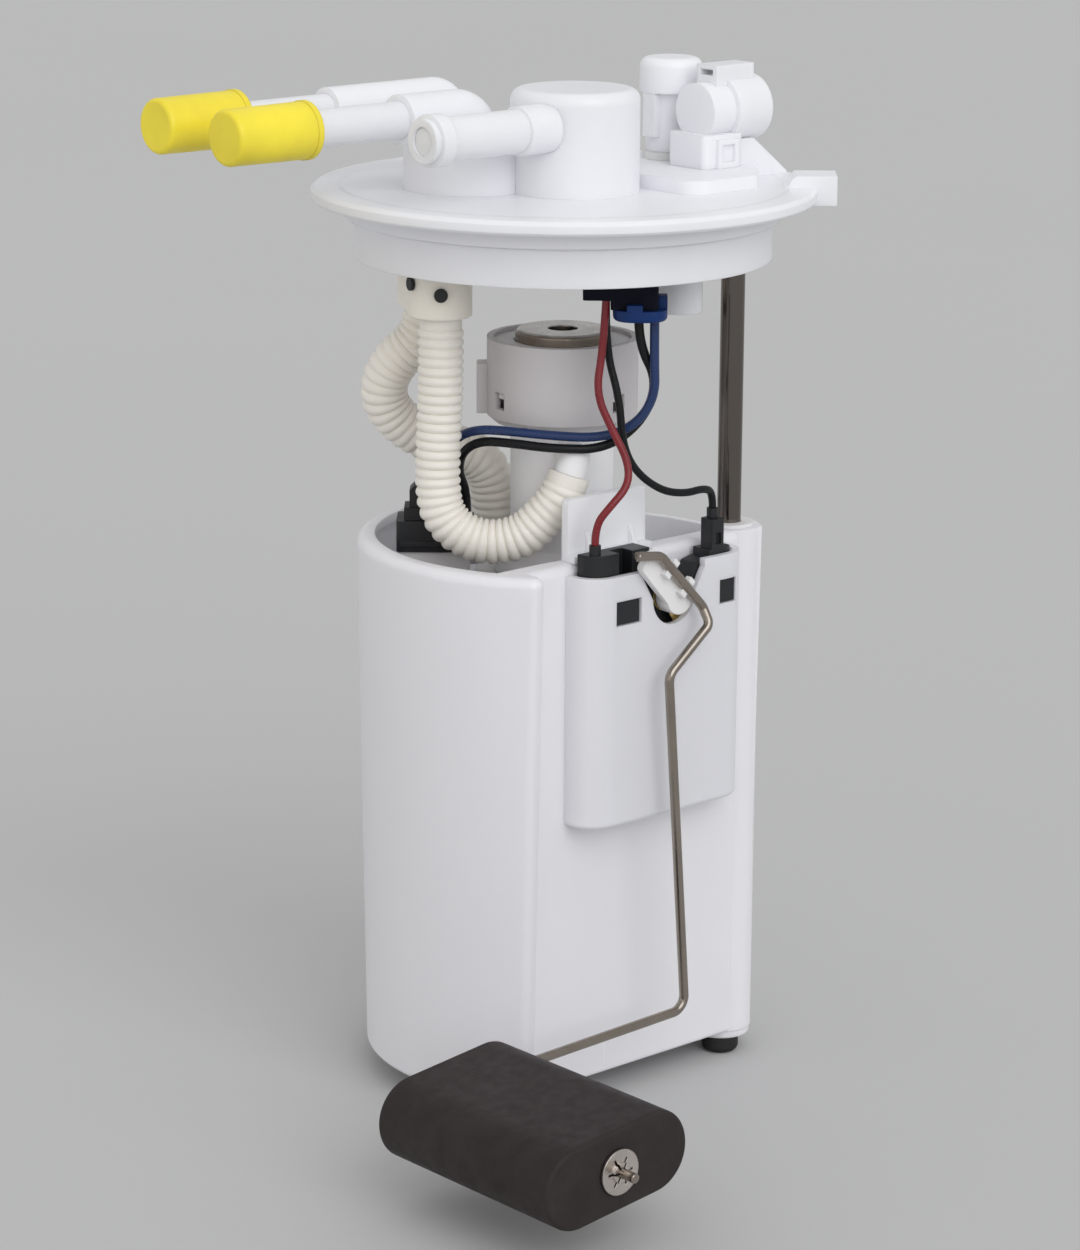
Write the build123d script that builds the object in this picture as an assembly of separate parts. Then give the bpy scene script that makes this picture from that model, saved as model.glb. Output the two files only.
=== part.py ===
"""Fuel pump module: tank cover flange, sliding reservoir, pump, regulator and level sender.

Millimetres, +Z up. The origin is on the flange axis in the sealing plane, which is the
underside of the flange rim. -Y is the front, the side that the level sender looks out of.
"""

import os
from math import atan2, cos, degrees, pi, radians, sin, tan

from build123d import *

os.makedirs("parts", exist_ok=True)

# ---------------------------------------------------------------- clearances
press_gap = 0.05          # between pieces pushed together for good
running_gap = 0.05        # radial, shaft in bore
soft_gap = 0.3            # beside rubber, hose and moving mouldings

# ---------------------------------------------------------------- cover flange
flange_radius = 65.0
flange_thickness = 3.6
collar_radius = 56.0
collar_depth = 4.4
skirt_radius = 53.85
skirt_depth = 14.6
skirt_wall = 2.4
rib_thickness = 1.8
rib_depth = 9.0
key_angle = -42.0
key_width = 11.0
key_reach = 5.0
key_height = 6.7
key_drop = 1.0            # the tab hangs this far below the sealing plane
key_bevel = 3.4
deck_radius = 50.0
deck_height = 3.6

# Vent valve tower and the low well beside it
tower_x, tower_y = -6.0, -10.8
tower_radius = 16.5
tower_top = 29.8
tower_wall = 2.2
well_x, well_y = -23.5, 10.5
well_radius = 16.5
well_top = 15.0
well_wall = 3.0
valve_bottom = 0.6
valve_wall = 1.6
valve_top = 19.0
valve_seat = 2.4
float_lift = 3.0          # travel of the vent valve float
valve_float_radius = 9.5
valve_float_height = 8.0
valve_spring_wire = 0.8
valve_spring_radius = 4.6

# Fuel pipes, all leaving along -X
pipe_end_x = -96.1
pipe_height = 22.7
feed_y, feed_x = 10.0, -22.0
feed_diameter = 9.5
return_y, return_x = 38.0, -7.0
return_diameter = 8.0
pipe_wall = 1.3
pipe_bend_share = 0.64    # bend radius of a pipe's elbow, in pipe diameters
pipe_bead = 1.0           # how far a retaining bead stands proud
pipe_bead_width = 2.2
pipe_bead_place = 50.0    # from the pipe's end to its bead
pipe_shoulder = 1.6       # extra thickness of the elbow
feed_shoulder = 24.7      # how far the thick elbow runs along the pipe
return_shoulder = 40.5
return_boss_radius = 8.0
return_boss_top = 11.0
nipple_y, nipple_z = -16.0, 21.2
nipple_end_x = -60.8
nipple_diameter = 11.0
nipple_bore = 7.0
nipple_bead = 1.0
nipple_collar = 0.7       # thicker root beside the tower
cap_length = 25.0
cap_wall = 1.9            # on the feed pipe
cap_taper = 0.4
cap_cover = 20.0          # length of pipe inside a cap

# Pressure sensor and harness connector
sensor_x, sensor_y = 37.0, -0.5
sensor_cap_radius = 8.2
sensor_body_radius = 6.4
sensor_top = 33.6
sensor_cap_height = 9.0
socket_x = 41.0
socket_end_x = 50.0
socket_y, socket_z = -17.0, 21.4
socket_radius = 8.5
socket_wall = 1.5
connector_foot_x = 27.0
pin_radius = 0.6
pin_pitch = 3.2
pin_reach = 8.0
pin_drop = 2.6            # pins sit below the middle of the socket
ramp_flat = 5.0           # level part of the cradle beyond the socket's back
ramp_end_x = 58.5
ramp_width = 11.0

# ---------------------------------------------------------------- guide rods
rod_radius = 3.175
rod_seats = [(39.5, -22.5), (-3.0, 46.0)]
rod_end = -113.0
rod_boss_radius = 7.0
rod_boss_depth = 13.0
ring_radius = 4.6
ring_thickness = 1.0

# ---------------------------------------------------------------- service plane
# The tank connector and the hose adaptor face the same way, turned from the front.
service_angle = -42.0
adaptor_depth = 27.5
adaptor_half_width = 8.0
feed_port = (-31.0, -20.0)       # across, back
return_port = (-35.0, 0.0)
feed_hose_diameter = 11.8
return_hose_diameter = 12.4
tank_connector_low = (5.0, -33.0)
tank_connector_high = (24.0, -21.0)
tank_connector_depth = 23.4
tank_connector_step = 2.4
lock_thickness = 3.0
lock_overhang = 2.3
lock_corner = 5.0

# ---------------------------------------------------------------- reservoir
rim_z = -88.2
base_z = -228.6
rim_radius = 53.7
can_draft = 1.9           # how much the can narrows towards its base
can_wall = 2.2
can_lip_radius = 49.0
can_lip_thickness = 2.6
flat_y = -30.0            # level sender side of the can
step_x = -36.0            # where the round wall stops and the flat starts
column_radius = 8.3
column_bore = 5.25
rear_notch_depth = 6.0
foot_boss = 2.2           # a guide column ends this far below the can's floor
foot_radius = 5.0
foot_height = 4.2
foot_stem_radius = 2.0
foot_shift = (-2.2, -2.4)  # a foot sits this far off its guide column

# Pocket for the level sender, on the flat
pocket_left, pocket_right = -25.4, 31.0
pocket_y = -40.0
pocket_top, pocket_bottom = -90.5, -157.0
pocket_wall = 2.0
pocket_corner = 8.0
notch_x = 3.2
notch_width = 21.6
notch_radius = 7.4
window_top, window_bottom = -97.0, -103.5
windows = [(-16.9, -8.2), (19.5, 25.6)]

# Opening and front strip of the reservoir top
strip_y = -23.5
shield_left, shield_right = -22.0, 5.0
shield_top = -72.0
shield_thickness = 2.4

# ---------------------------------------------------------------- pump and regulator
cup_radius = 19.7
cup_wall = 1.8
cup_rim_z = -36.0
cup_floor_z = -57.5
neck_radius = 13.5
neck_bore = 4.0
neck_foot_z = -98.0
cup_window_angles = [-84.0, 4.0, 88.0, 172.0]
lug_drop = 7.0            # top of the cup's lug below the cup rim
regulator_radius = 12.3
regulator_top = -34.0
regulator_lip_z = -39.8    # the wide disc of the regulator ends here
regulator_port = 4.0
nozzle_radius = 4.0
nozzle_share = 0.8       # corner beyond the hose end, as a share of the last run
pump_radius = 19.0
pump_can_wall = 1.2
pump_top, pump_bottom = -98.0, -214.0
end_cap_height = 10.0
pump_shoulder = 2.4
post_inset = 5.5          # brush posts, in from the pump's wall
post_radius = 1.4
magnet_wall = 3.4
magnet_gap = 0.5
shaft_radius = 2.0
impeller_radius = 15.0
impeller_thickness = 3.6
impeller_blades = 16
isolator_wall = 2.6
isolator_height = 16.0
strainer_thickness = 5.0
strainer_inset = 6.0      # pad's ends, in from the pump's wall
cradle_ring = 3.2
cradle_top, cradle_bottom = -101.0, -110.0
cradle_arm_width = 6.0
cradle_angles = [146.6, 30.0, -88.0]
jet_radius = 3.4
jet_reach = 34.0
jet_bend = 4.0

# ---------------------------------------------------------------- level sender
hub_x, hub_z = 3.0, -98.5
hub_radius = 4.4
journal_radius = 2.4
sender_front, sender_back = -37.6, -31.5
card_thickness = 0.8
card_recess = 2.6
recess_radius = 27.0
rotor_front = -42.5
wire_radius = 1.25
wire_plane = -46.0
clip_y = rotor_front - wire_radius - 0.1    # wire's plane while it lies on the rotor
float_x, float_z = -80.8, -211.6
float_front, float_back = -111.4, -49.0
float_width = 45.6
float_height = 21.0
float_tilt = -6.0
nut_radius = 5.75
nut_thickness = 0.7

head_top = -85.0          # left terminal head
head_right = -3.6
terminal_gap = (-14.0, -9.4)     # slot between the head's two posts
tower_left, tower_right = 18.8, 23.2
tower_head = -81.4        # right terminal head
hook_x, hook_z = -9.6, -85.6     # where the float wire's top end is held
elbow_x, elbow_z = 10.6, -103.4
rotor_share = 0.92        # length of the rotor's tail towards the hook
rotor_root, rotor_tip = 3.9, 3.2  # half widths of the tail
jaw_places = (0.25, 0.62)  # clip jaws along the arm's first long run
jaw_width, jaw_span, jaw_height = 2.2, 5.4, 1.8

# ---------------------------------------------------------------- wires
lock_low = -tank_connector_depth - lock_thickness
pump_connector_base = -91.5
pump_connector_top = -83.3
pump_tower_top = -74.5
crimp_height = 2.6        # terminal sleeve above a sender head
sender_wire_diameter = 2.0
pump_wire_diameter = 2.4


# ================================================================ helpers
def disc(radius, bottom, top, x=0.0, y=0.0):
    """Upright cylinder between two heights."""
    return extrude(Pos(x, y, bottom) * Circle(radius), top - bottom)


def ring(outer, inner, bottom, top, x=0.0, y=0.0):
    """Upright tube between two heights."""
    return extrude(Pos(x, y, bottom) * (Circle(outer) - Circle(inner)), top - bottom)


def block(low, high):
    """Box between two corners."""
    size = [b - a for a, b in zip(low, high)]
    middle = [(a + b) / 2 for a, b in zip(low, high)]
    return Pos(*middle) * Box(*size)


def bar(start, direction, radius, length):
    """Round bar from a point along a direction."""
    return extrude(Plane(start, z_dir=direction) * Circle(radius), length)


def turned(points):
    """Body of revolution about Z from (radius, height) points."""
    return revolve(make_face(Plane.XZ * Polyline(*points, close=True)), Axis.Z)


def across(profile, front, back):
    """Solid between two y values from an outline drawn in X and Z."""
    return extrude(Plane((0, front, 0), x_dir=(1, 0, 0), z_dir=(0, -1, 0)) * profile, front - back)


service = Plane((0, 0, 0), x_dir=(cos(radians(service_angle)), sin(radians(service_angle)), 0))


def served(points):
    """Points given as (across, back, height) in the service plane's own axes."""
    return [service.from_local_coords(Vector(*point)) for point in points]


def pipe_run(points, outer, bend):
    """Round bar along straight runs with one bend radius."""
    path = FilletPolyline(*points, radius=bend)
    start = Vector(*points[0])
    return sweep(Plane(start, z_dir=Vector(*points[1]) - start) * Circle(outer), path=path)


def cord(name, points, diameter):
    """Hose or wire: straight runs joined by arcs as large as the runs allow."""
    corners = [Vector(*point) for point in points]
    runs = [after - before for before, after in zip(corners, corners[1:])]
    radii = []
    for before, after in zip(runs, runs[1:]):
        half_turn = radians(before.get_angle(after)) / 2
        radii.append(0.45 * min(before.length, after.length) / tan(half_turn))
    path = FilletPolyline(*corners, radius=radii)
    tube = sweep(Plane(corners[0], z_dir=runs[0]) * Circle(diameter / 2), path=path)
    section = pi * (diameter / 2) ** 2
    print(name, "radii", [round(value, 1) for value in radii], "length", round(path.length, 1),
          "volume ratio", round(tube.volume / section / path.length, 4))
    return tube


def save(name, part):
    """Write one named piece."""
    export_step(Compound(children=list(part.solids()), label=name), f"parts/{name}.step")


# ================================================================ flange pieces
def cover_flange():
    """Moulded cover: rim, collar, skirt, tower, well, rod sockets and ribs."""
    inner = skirt_radius - skirt_wall
    body = turned([(0, flange_thickness), (flange_radius - 1.2, flange_thickness),
                   (flange_radius, flange_thickness - 1.0), (flange_radius, 0.7),
                   (flange_radius - 0.7, 0), (collar_radius, 0), (collar_radius, -collar_depth),
                   (skirt_radius, -collar_depth - 0.5), (skirt_radius, -skirt_depth),
                   (inner, -skirt_depth), (inner, 0), (0, 0)])
    key = block((collar_radius, -key_width / 2, -key_drop),
                (flange_radius + key_reach, key_width / 2, key_height))
    bevel = key.edges().sort_by(Axis.Z)[-4:].sort_by(Axis.X)[0]
    key = chamfer(bevel, key_bevel)
    key -= ring(collar_radius + 4.0, 0.1, -key_drop - 1, 0)
    body += Rot(0, 0, key_angle) * key
    deck = disc(deck_radius, 0, flange_thickness + deck_height)
    deck &= block((sensor_x - 27, -38, 0), (deck_radius, 14, 20))
    body += fillet(deck.edges().filter_by(Axis.Z), 6.0)
    body += socket_ramp()
    body += disc(well_radius, 0, well_top, well_x, well_y)
    body += disc(tower_radius, 0, tower_top, tower_x, tower_y)
    rounded = [edge for edge in body.edges().filter_by(GeomType.CIRCLE)
               if abs(edge.center().Z - tower_top) < 0.01]
    body = fillet(rounded, 3.0)
    body += disc(return_boss_radius, 0, return_boss_top, return_x, return_y)
    for x, y in rod_seats:
        body += disc(rod_boss_radius, -rod_boss_depth, 0, x, y)
    stop_post = served([(30.0, -5.0, 0)])[0]
    body += disc(6.0, -28.5, 0, stop_post.X, stop_post.Y)
    body -= disc(3.8, -28.5, -2.0, stop_post.X, stop_post.Y)
    body += underside_ribs(inner)
    body -= disc(tower_radius - tower_wall, 0, tower_top - tower_wall, tower_x, tower_y)
    body -= disc(well_radius - well_wall, 0, well_top - well_wall, well_x, well_y)
    body -= disc(2.6, 0, well_top, feed_x, feed_y)
    body -= disc(2.4, 0, return_boss_top, return_x, return_y)
    body -= bar((tower_x, nipple_y, nipple_z), (-1, 0, 0), nipple_bore / 2, tower_radius)
    body -= disc(sensor_body_radius - 1.0, 0, flange_thickness + deck_height, sensor_x, sensor_y)
    for x, y in rod_seats:
        body -= disc(rod_radius + press_gap, -rod_boss_depth, -1.0, x, y)
    return body


def socket_ramp():
    """Sloping cradle on the cover under the outside connector's socket."""
    low = flange_thickness - 0.5
    top = socket_z - socket_radius + 1.0
    back = socket_x + press_gap
    outline = Polyline((back, low), (back, top), (socket_x + ramp_flat, top),
                       (ramp_end_x, flange_thickness + 0.6), (ramp_end_x, low), close=True)
    ramp = across(make_face(outline), socket_y - ramp_width / 2, socket_y + ramp_width / 2)
    return ramp - bar((socket_x - 2.0, socket_y, socket_z), (1, 0, 0), socket_radius + press_gap, 30.0)


def underside_ribs(inner):
    """Stiffening ribs between the skirt and the clear middle of the flange."""
    ribs = None
    for angle in (0, 65, 200, 232, 322):
        rib = block((30.0, -rib_thickness / 2, -rib_depth), (inner + 0.5, rib_thickness / 2, 0))
        rib = Rot(0, 0, angle) * rib
        ribs = rib if ribs is None else ribs + rib
    return ribs


def vent_valve_body():
    """Open cage pushed up into the tower, with a seat at its top."""
    outer = tower_radius - tower_wall - press_gap
    floor = valve_bottom + valve_wall
    cage = ring(outer, outer - valve_wall, valve_bottom, valve_top)
    cage += ring(outer, 2.5, valve_top - valve_seat, valve_top)
    cage += ring(outer, 3.4, valve_bottom, floor)
    for angle in (20, 80, 140):
        slot = block((-outer - 2, -2.4, floor + 1.0), (outer + 2, 2.4, valve_top - valve_seat - 4.0))
        cage -= Rot(0, 0, angle) * slot
    for angle in range(0, 360, 90):
        cage -= Rot(0, 0, angle) * disc(1.8, valve_bottom, floor, 8.4, 0)
    return Pos(tower_x, tower_y, 0) * cage


def vent_valve_float():
    """Float with the needle that shuts the vent when it rises."""
    low = valve_bottom + valve_wall + 3.0
    top = low + valve_float_height
    seat = valve_top - valve_seat
    body = turned([(0, low + 4.0), (6.2, low + 4.0), (6.2, low), (valve_float_radius, low),
                   (valve_float_radius, top - 1.5), (valve_float_radius - 1.5, top), (3.0, top),
                   (2.2, seat - float_lift - soft_gap), (0, seat - float_lift + 1.2)])
    return Pos(tower_x, tower_y, 0) * body


def coil_spring(radius, wire, bottom, top, turns, x, y):
    """Compression spring whose wire stays inside the two heights."""
    height = top - bottom - wire
    path = Pos(x, y, bottom + wire / 2) * Helix(height / turns, height, radius)
    section = Plane(path @ 0, z_dir=path % 0) * Circle(wire / 2)
    return sweep(section, path=path, is_frenet=True)


def vent_valve_spring():
    """Light spring that carries most of the float's weight."""
    floor = valve_bottom + valve_wall
    return coil_spring(valve_spring_radius, valve_spring_wire, floor + 0.1, floor + 6.7, 3,
                       tower_x, tower_y)


def fuel_pipe(elbow_x, y, foot, diameter, shoulder):
    """Pipe that rises from the cover and turns to -X, with a thick elbow and a retaining bead."""
    radius = diameter / 2
    bend = diameter * pipe_bend_share
    route = [(elbow_x, y, foot), (elbow_x, y, pipe_height), (pipe_end_x, y, pipe_height)]
    body = pipe_run(route, radius, bend)
    thick = [(elbow_x, y, foot), (elbow_x, y, pipe_height), (elbow_x - shoulder, y, pipe_height)]
    body += pipe_run(thick, radius + pipe_shoulder, bend + 0.4)
    bead_x = pipe_end_x + pipe_bead_place
    body += bar((bead_x, y, pipe_height), (1, 0, 0), radius + pipe_bead, pipe_bead_width)
    return body - pipe_run(route, radius - pipe_wall, bend)


def vapour_nipple():
    """Straight vapour outlet standing out of the tower, with a bead at its end."""
    root = tower_x - (tower_radius ** 2 - (nipple_y - tower_y) ** 2) ** 0.5
    radius = nipple_diameter / 2
    reach = root - nipple_end_x
    body = bar((root + 1.4, nipple_y, nipple_z), (-1, 0, 0), radius, reach + 1.4)
    body += bar((root + 1.4, nipple_y, nipple_z), (-1, 0, 0), radius + nipple_collar, 10.0)
    body += bar((nipple_end_x + 6.0, nipple_y, nipple_z), (-1, 0, 0), radius + nipple_bead, 4.2)
    body -= disc(tower_radius + press_gap, 0, tower_top, tower_x, tower_y)
    return body - bar((root + 1.4, nipple_y, nipple_z), (-1, 0, 0), nipple_bore / 2, reach + 2)


def pipe_cap(y, diameter):
    """Soft shipping cap pushed over a pipe's end, the same size outside on both pipes."""
    radius = diameter / 2 + soft_gap
    outer = feed_diameter / 2 + soft_gap + cap_wall
    shell = Plane((pipe_end_x + cap_cover, y, pipe_height), z_dir=(-1, 0, 0))
    cap = extrude(shell * Circle(outer + cap_taper), 1.6)
    cap += loft([shell * Circle(outer + cap_taper / 2), Pos(-cap_length, 0, 0) * (shell * Circle(outer))])
    tip = cap.faces().sort_by(Axis.X)[0]
    cap = fillet(tip.edges(), 1.2)
    return cap - extrude(shell * Circle(radius), cap_cover + soft_gap)


def pressure_sensor():
    """Tank pressure sensor: round body on the deck and a wide cap."""
    floor = flange_thickness + deck_height
    cap_z = sensor_top - sensor_cap_height
    body = disc(sensor_body_radius, floor + 2.0, cap_z)
    cap = disc(sensor_cap_radius, cap_z, sensor_top)
    body += fillet(cap.edges().sort_by(Axis.Z)[-1], 2.4)
    body += disc(sensor_body_radius - 2.4, floor - 5.0, floor + 2.0)
    body -= disc(1.2, floor - 5.0, cap_z)
    body += block((-sensor_body_radius - 1.6, -2.2, floor + 6.0), (0, 2.2, cap_z))
    return Pos(sensor_x, sensor_y, 0) * body


def sensor_grommet():
    """Rubber seal between the sensor's stem and the cover."""
    floor = flange_thickness + deck_height
    hole = sensor_body_radius - 1.0 - press_gap
    stem = sensor_body_radius - 2.4 + press_gap
    body = ring(hole, stem, floor - 4.0, floor)
    body += ring(sensor_body_radius + 0.8, stem, floor, floor + 2.0)
    return Pos(sensor_x, sensor_y, 0) * body


def harness_connector():
    """Outside connector: foot, elbow housing, round socket and latch bridge."""
    floor = flange_thickness + deck_height
    low_z = socket_z - socket_radius
    foot = block((connector_foot_x, socket_y - 7.0, floor), (socket_x, socket_y + 7.0, low_z + 3.0))
    foot = fillet(foot.edges().filter_by(Axis.Z), 1.6)
    frame = block((connector_foot_x + 4.0, socket_y - 8.0, floor),
                  (connector_foot_x + 11.5, socket_y - 6.0, floor + 7.5))
    frame -= block((connector_foot_x + 5.6, socket_y - 8.0, floor + 1.6),
                   (connector_foot_x + 9.9, socket_y - 7.2, floor + 6.0))
    body = foot + frame
    body += bar((connector_foot_x + 3.0, socket_y, socket_z), (1, 0, 0), socket_radius - 1.2,
                socket_x - connector_foot_x - 3.0)
    socket = bar((socket_x - 3.0, socket_y, socket_z), (1, 0, 0), socket_radius,
                 socket_end_x - socket_x + 3.0)
    body += socket
    latch_top = socket_z + socket_radius + 3.2
    latch = block((socket_x - 7.0, socket_y - 3.6, socket_z),
                  (socket_end_x - 2.5, socket_y + 3.6, latch_top))
    latch -= block((socket_x - 7.0, socket_y - 2.2, socket_z + socket_radius + 0.6),
                   (socket_end_x - 4.5, socket_y + 2.2, latch_top - 1.2))
    body += latch
    mouth = bar((socket_x, socket_y, socket_z), (1, 0, 0), socket_radius - socket_wall,
                socket_end_x - socket_x)
    body -= mouth
    for y, z in pin_places():
        body -= bar((socket_x - 5.0, y, z), (1, 0, 0), pin_radius + press_gap, 5.0)
    return body


def pin_places():
    """Where the harness terminals stand in the socket."""
    z = socket_z - pin_drop
    return [(socket_y + pin_pitch * step, z) for step in (-1.0, 0.0, 1.0)] + \
           [(socket_y + pin_pitch * step, z - 2.4) for step in (-0.5, 0.5)]


def harness_pins():
    """Terminals of the outside connector, with rounded tips."""
    pins = []
    for y, z in pin_places():
        pin = bar((socket_x - 5.0, y, z), (1, 0, 0), pin_radius, 5.0 + pin_reach)
        pins.append(chamfer(pin.faces().sort_by(Axis.X)[-1].edges(), 0.25))
    return Compound(children=pins)


def tank_connector():
    """Black plug block under the flange that feeds the pump and the sender."""
    x0, y0 = tank_connector_low
    x1, y1 = tank_connector_high
    split = x0 + 7.0
    low_z = -tank_connector_depth
    body = block((x0, y0, low_z + tank_connector_step), (x1, y1, 0))
    body += block((split, y0, low_z), (x1, y1, low_z + tank_connector_step))
    body = fillet(body.edges().filter_by(Axis.Z), 1.0)
    for index in range(3):
        groove = split + 2.0 + 3.2 * index
        body -= block((groove, y0, low_z + 9.0), (groove + 1.4, y0 + 0.8, -3.0))
    body += block((x0 - 1.6, y0 + 3.0, low_z + 9.0), (x0, y1 - 3.0, low_z + 13.0))
    return service * body


def connector_lock():
    """Blue secondary lock clipped round the plug's lower end."""
    x0, y0 = tank_connector_low
    x1, y1 = tank_connector_high
    split = x0 + 7.0
    low_z = -tank_connector_depth
    grip = lock_overhang
    plate = block((split + 0.6, y0 - grip, low_z - lock_thickness), (x1 + grip, y1 + grip, low_z))
    plate = fillet(plate.edges().filter_by(Axis.Z), lock_corner)
    plate = fillet(plate.faces().sort_by(Axis.Z)[0].edges(), 1.2)
    plate += block((x1 + press_gap, y0 + 3.6, low_z), (x1 + grip, y1 - 4.0, low_z + 3.0))
    plate += block((split + 4.0, y0 - grip, low_z), (x1 - 4.0, y0 - press_gap, low_z + 1.6))
    for across_x in (19.2, 23.2):
        plate -= disc(pump_wire_diameter / 2 + 0.4, low_z - lock_thickness, low_z, across_x, -27.0)
    return service * plate


def hose_adaptor():
    """Manifold under the flange that carries both hoses."""
    ports = [Vector(*feed_port), Vector(*return_port)]
    middle = (ports[0] + ports[1]) / 2
    span = ports[1] - ports[0]
    turn = degrees(atan2(span.Y, span.X))
    outline = Pos(middle.X, middle.Y) * Rot(0, 0, turn) * \
        SlotCenterToCenter(span.length, 2 * adaptor_half_width)
    body = extrude(outline, -adaptor_depth)
    body = fillet(body.faces().sort_by(Axis.Z)[0].edges(), 0.8)
    for port in ports:
        body -= disc(3.0, -adaptor_depth, -2.0, port.X, port.Y)
    for start, direction in rivet_places():
        body -= bar(start, direction, 1.3 + press_gap, 5.0)
    return service * body


def rivet_places():
    """Outer ends and inward directions of the adaptor's two pins, in service axes."""
    x, y = feed_port
    reach = adaptor_half_width
    places = []
    for angle, z in ((-88.0, -20.8), (-153.0, -18.6)):
        out = Vector(cos(radians(angle)), sin(radians(angle)), 0)
        start = Vector(x, y, z) + out * reach
        places.append((start, out * -1))
    return places


def adaptor_pins():
    """Two black pins pushed into the adaptor's front."""
    pins = []
    for start, direction in rivet_places():
        shank = bar(start, direction, 1.3, 5.0)
        head = bar(start - direction * 0.9, direction, 1.75, 0.9 - press_gap)
        pins.append(service * (shank + head))
    return Compound(children=pins)


def guide_rod(x, y):
    """Ground steel rod, chamfered, with a groove for its ring."""
    rod = disc(rod_radius, rod_end, -1.0, x, y)
    rod = chamfer(rod.edges().filter_by(GeomType.CIRCLE), 0.6)
    groove = rod_end + 2.0
    return rod - ring(rod_radius + 1, rod_radius - 0.6, groove, groove + ring_thickness + 0.1, x, y)


def rod_rings():
    """Retaining rings snapped into the rods' grooves, open on one side."""
    groove = rod_end + 2.0
    rings = []
    for x, y in rod_seats:
        clip = ring(ring_radius, rod_radius - 0.55, groove + 0.05, groove + 0.05 + ring_thickness, x, y)
        clip -= block((x, y - 2.2, groove - 1), (x + ring_radius + 1, y + 2.2, groove + 3))
        rings.append(clip)
    return Compound(children=rings)


# ================================================================ reservoir pieces
def wall_radius(z):
    """Outer radius of the tapered can at a height."""
    return rim_radius - can_draft * (rim_z - z) / (rim_z - base_z)


def can_solid(bottom, top, offset):
    """Tapered round solid with the stepped flat cut away, moved in by an offset."""
    low, high = wall_radius(bottom) - offset, wall_radius(top) - offset
    body = turned([(0, bottom), (low, bottom), (high, top), (0, top)])
    return body - block((step_x - offset, -2 * rim_radius, bottom - 1),
                        (2 * rim_radius, flat_y + offset, top + 1))


def sender_pocket():
    """Pocket on the flat that holds the level sender, with its notch and windows."""
    body = block((pocket_left, pocket_y, pocket_bottom), (pocket_right, flat_y + 1.0, pocket_top))
    outer = body.edges().filter_by(Axis.Z).sort_by(Axis.Y)[:2]
    body = fillet(outer, pocket_corner)
    low_edges = body.edges().filter_by(lambda edge: abs(edge.center().Z - pocket_bottom) < 0.01)
    return fillet([edge for edge in low_edges if edge.center().Y < flat_y], 1.5)


def pocket_hollow():
    """Inside of the sender pocket with its notch and windows."""
    w = pocket_wall
    hollow = block((pocket_left + w, pocket_y + w, pocket_bottom + w),
                   (pocket_right - w, flat_y, pocket_top + 1))
    outer = hollow.edges().filter_by(Axis.Z).sort_by(Axis.Y)[:2]
    hollow = fillet(outer, pocket_corner - w)
    half = notch_width / 2
    low = hub_z
    notch = make_face(Polyline((notch_x - half, pocket_top + 1), (notch_x + half, pocket_top + 1),
                               (notch_x + half, pocket_top - 2.0), (notch_x + notch_radius, low),
                               (notch_x - notch_radius, low), (notch_x - half, pocket_top - 2.0),
                               close=True))
    notch += Pos(notch_x, low) * Circle(notch_radius)
    hollow += across(notch, pocket_y - 1, pocket_y + w + 0.5)
    for left, right in windows:
        hollow += block((left, pocket_y - 1, window_bottom), (right, pocket_y + w + 0.5, window_top))
    return hollow


def reservoir_can():
    """Tapered can: round wall, sender flat and pocket, guide columns, floor valve seat."""
    body = can_solid(base_z, rim_z, 0)
    upright = [edge for edge in body.edges() if edge.length > 100 and abs(edge.center().X - step_x) < 1.5]
    body = fillet(ShapeList(upright).sort_by(Axis.Y)[0], 3.0)
    for x, y in rod_seats:
        body += disc(column_radius, base_z, rim_z, x, y) & disc(rim_radius, base_z, rim_z)
    shoulder = [e for e in body.edges() if abs(e.center().Z - rim_z) < 0.01 and e.length > 20]
    body = fillet(shoulder, 2.4)
    foot_edges = [e for e in body.edges() if abs(e.center().Z - base_z) < 0.01 and e.length > 20]
    body = fillet(foot_edges, 1.2)
    for x, y in rod_seats:
        boss = disc(column_radius - 0.3, base_z - foot_boss, base_z + 1.0, x, y)
        body += fillet(boss.edges().sort_by(Axis.Z)[0], 0.8)
    hollow = can_solid(base_z + can_wall, rim_z - can_lip_thickness, can_wall)
    hollow += mouth(rim_z - can_lip_thickness - 1, rim_z + 1)
    for x, y in rod_seats:
        hollow -= disc(column_bore + can_wall, base_z, rim_z + 2, x, y)
    body -= hollow
    body += sender_pocket()
    body -= pocket_hollow()
    body -= rear_notch()
    for x, y in rod_seats:
        body -= disc(column_bore, base_z + can_wall, rim_z + 1, x, y)
        body -= disc(foot_stem_radius + press_gap, base_z - foot_boss, base_z - 0.4, x + foot_shift[0],
                     y + foot_shift[1])
    body -= disc(1.6, base_z, base_z + can_wall)
    for angle in range(0, 360, 60):
        body -= disc(1.5, base_z, base_z + can_wall, 4.6 * cos(radians(angle)), 4.6 * sin(radians(angle)))
    for angle in (40, 160, 280):
        rib = block((-1.0, 0, base_z + can_wall), (1.0, 10.0, base_z + 12.0))
        body += Rot(0, 0, angle) * Pos(0, pump_radius + isolator_wall + soft_gap, 0) * rib
    return body


def mouth(bottom, top):
    """Open mouth of the can, round and stopped short of the flat."""
    face = Circle(can_lip_radius) & Pos(0, strip_y + 60) * Rectangle(120, 120)
    return extrude(Pos(0, 0, bottom) * face, top - bottom)


def rear_notch():
    """Low stretch of the rim at the back right, where fuel spills over."""
    low = rim_z - rear_notch_depth
    cut = block((44.0, -9.0, low), (60.0, 30.0, rim_z + 1))
    return fillet(cut.edges().filter_by(Axis.X).sort_by(Axis.Z)[:2], 3.0)


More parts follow.
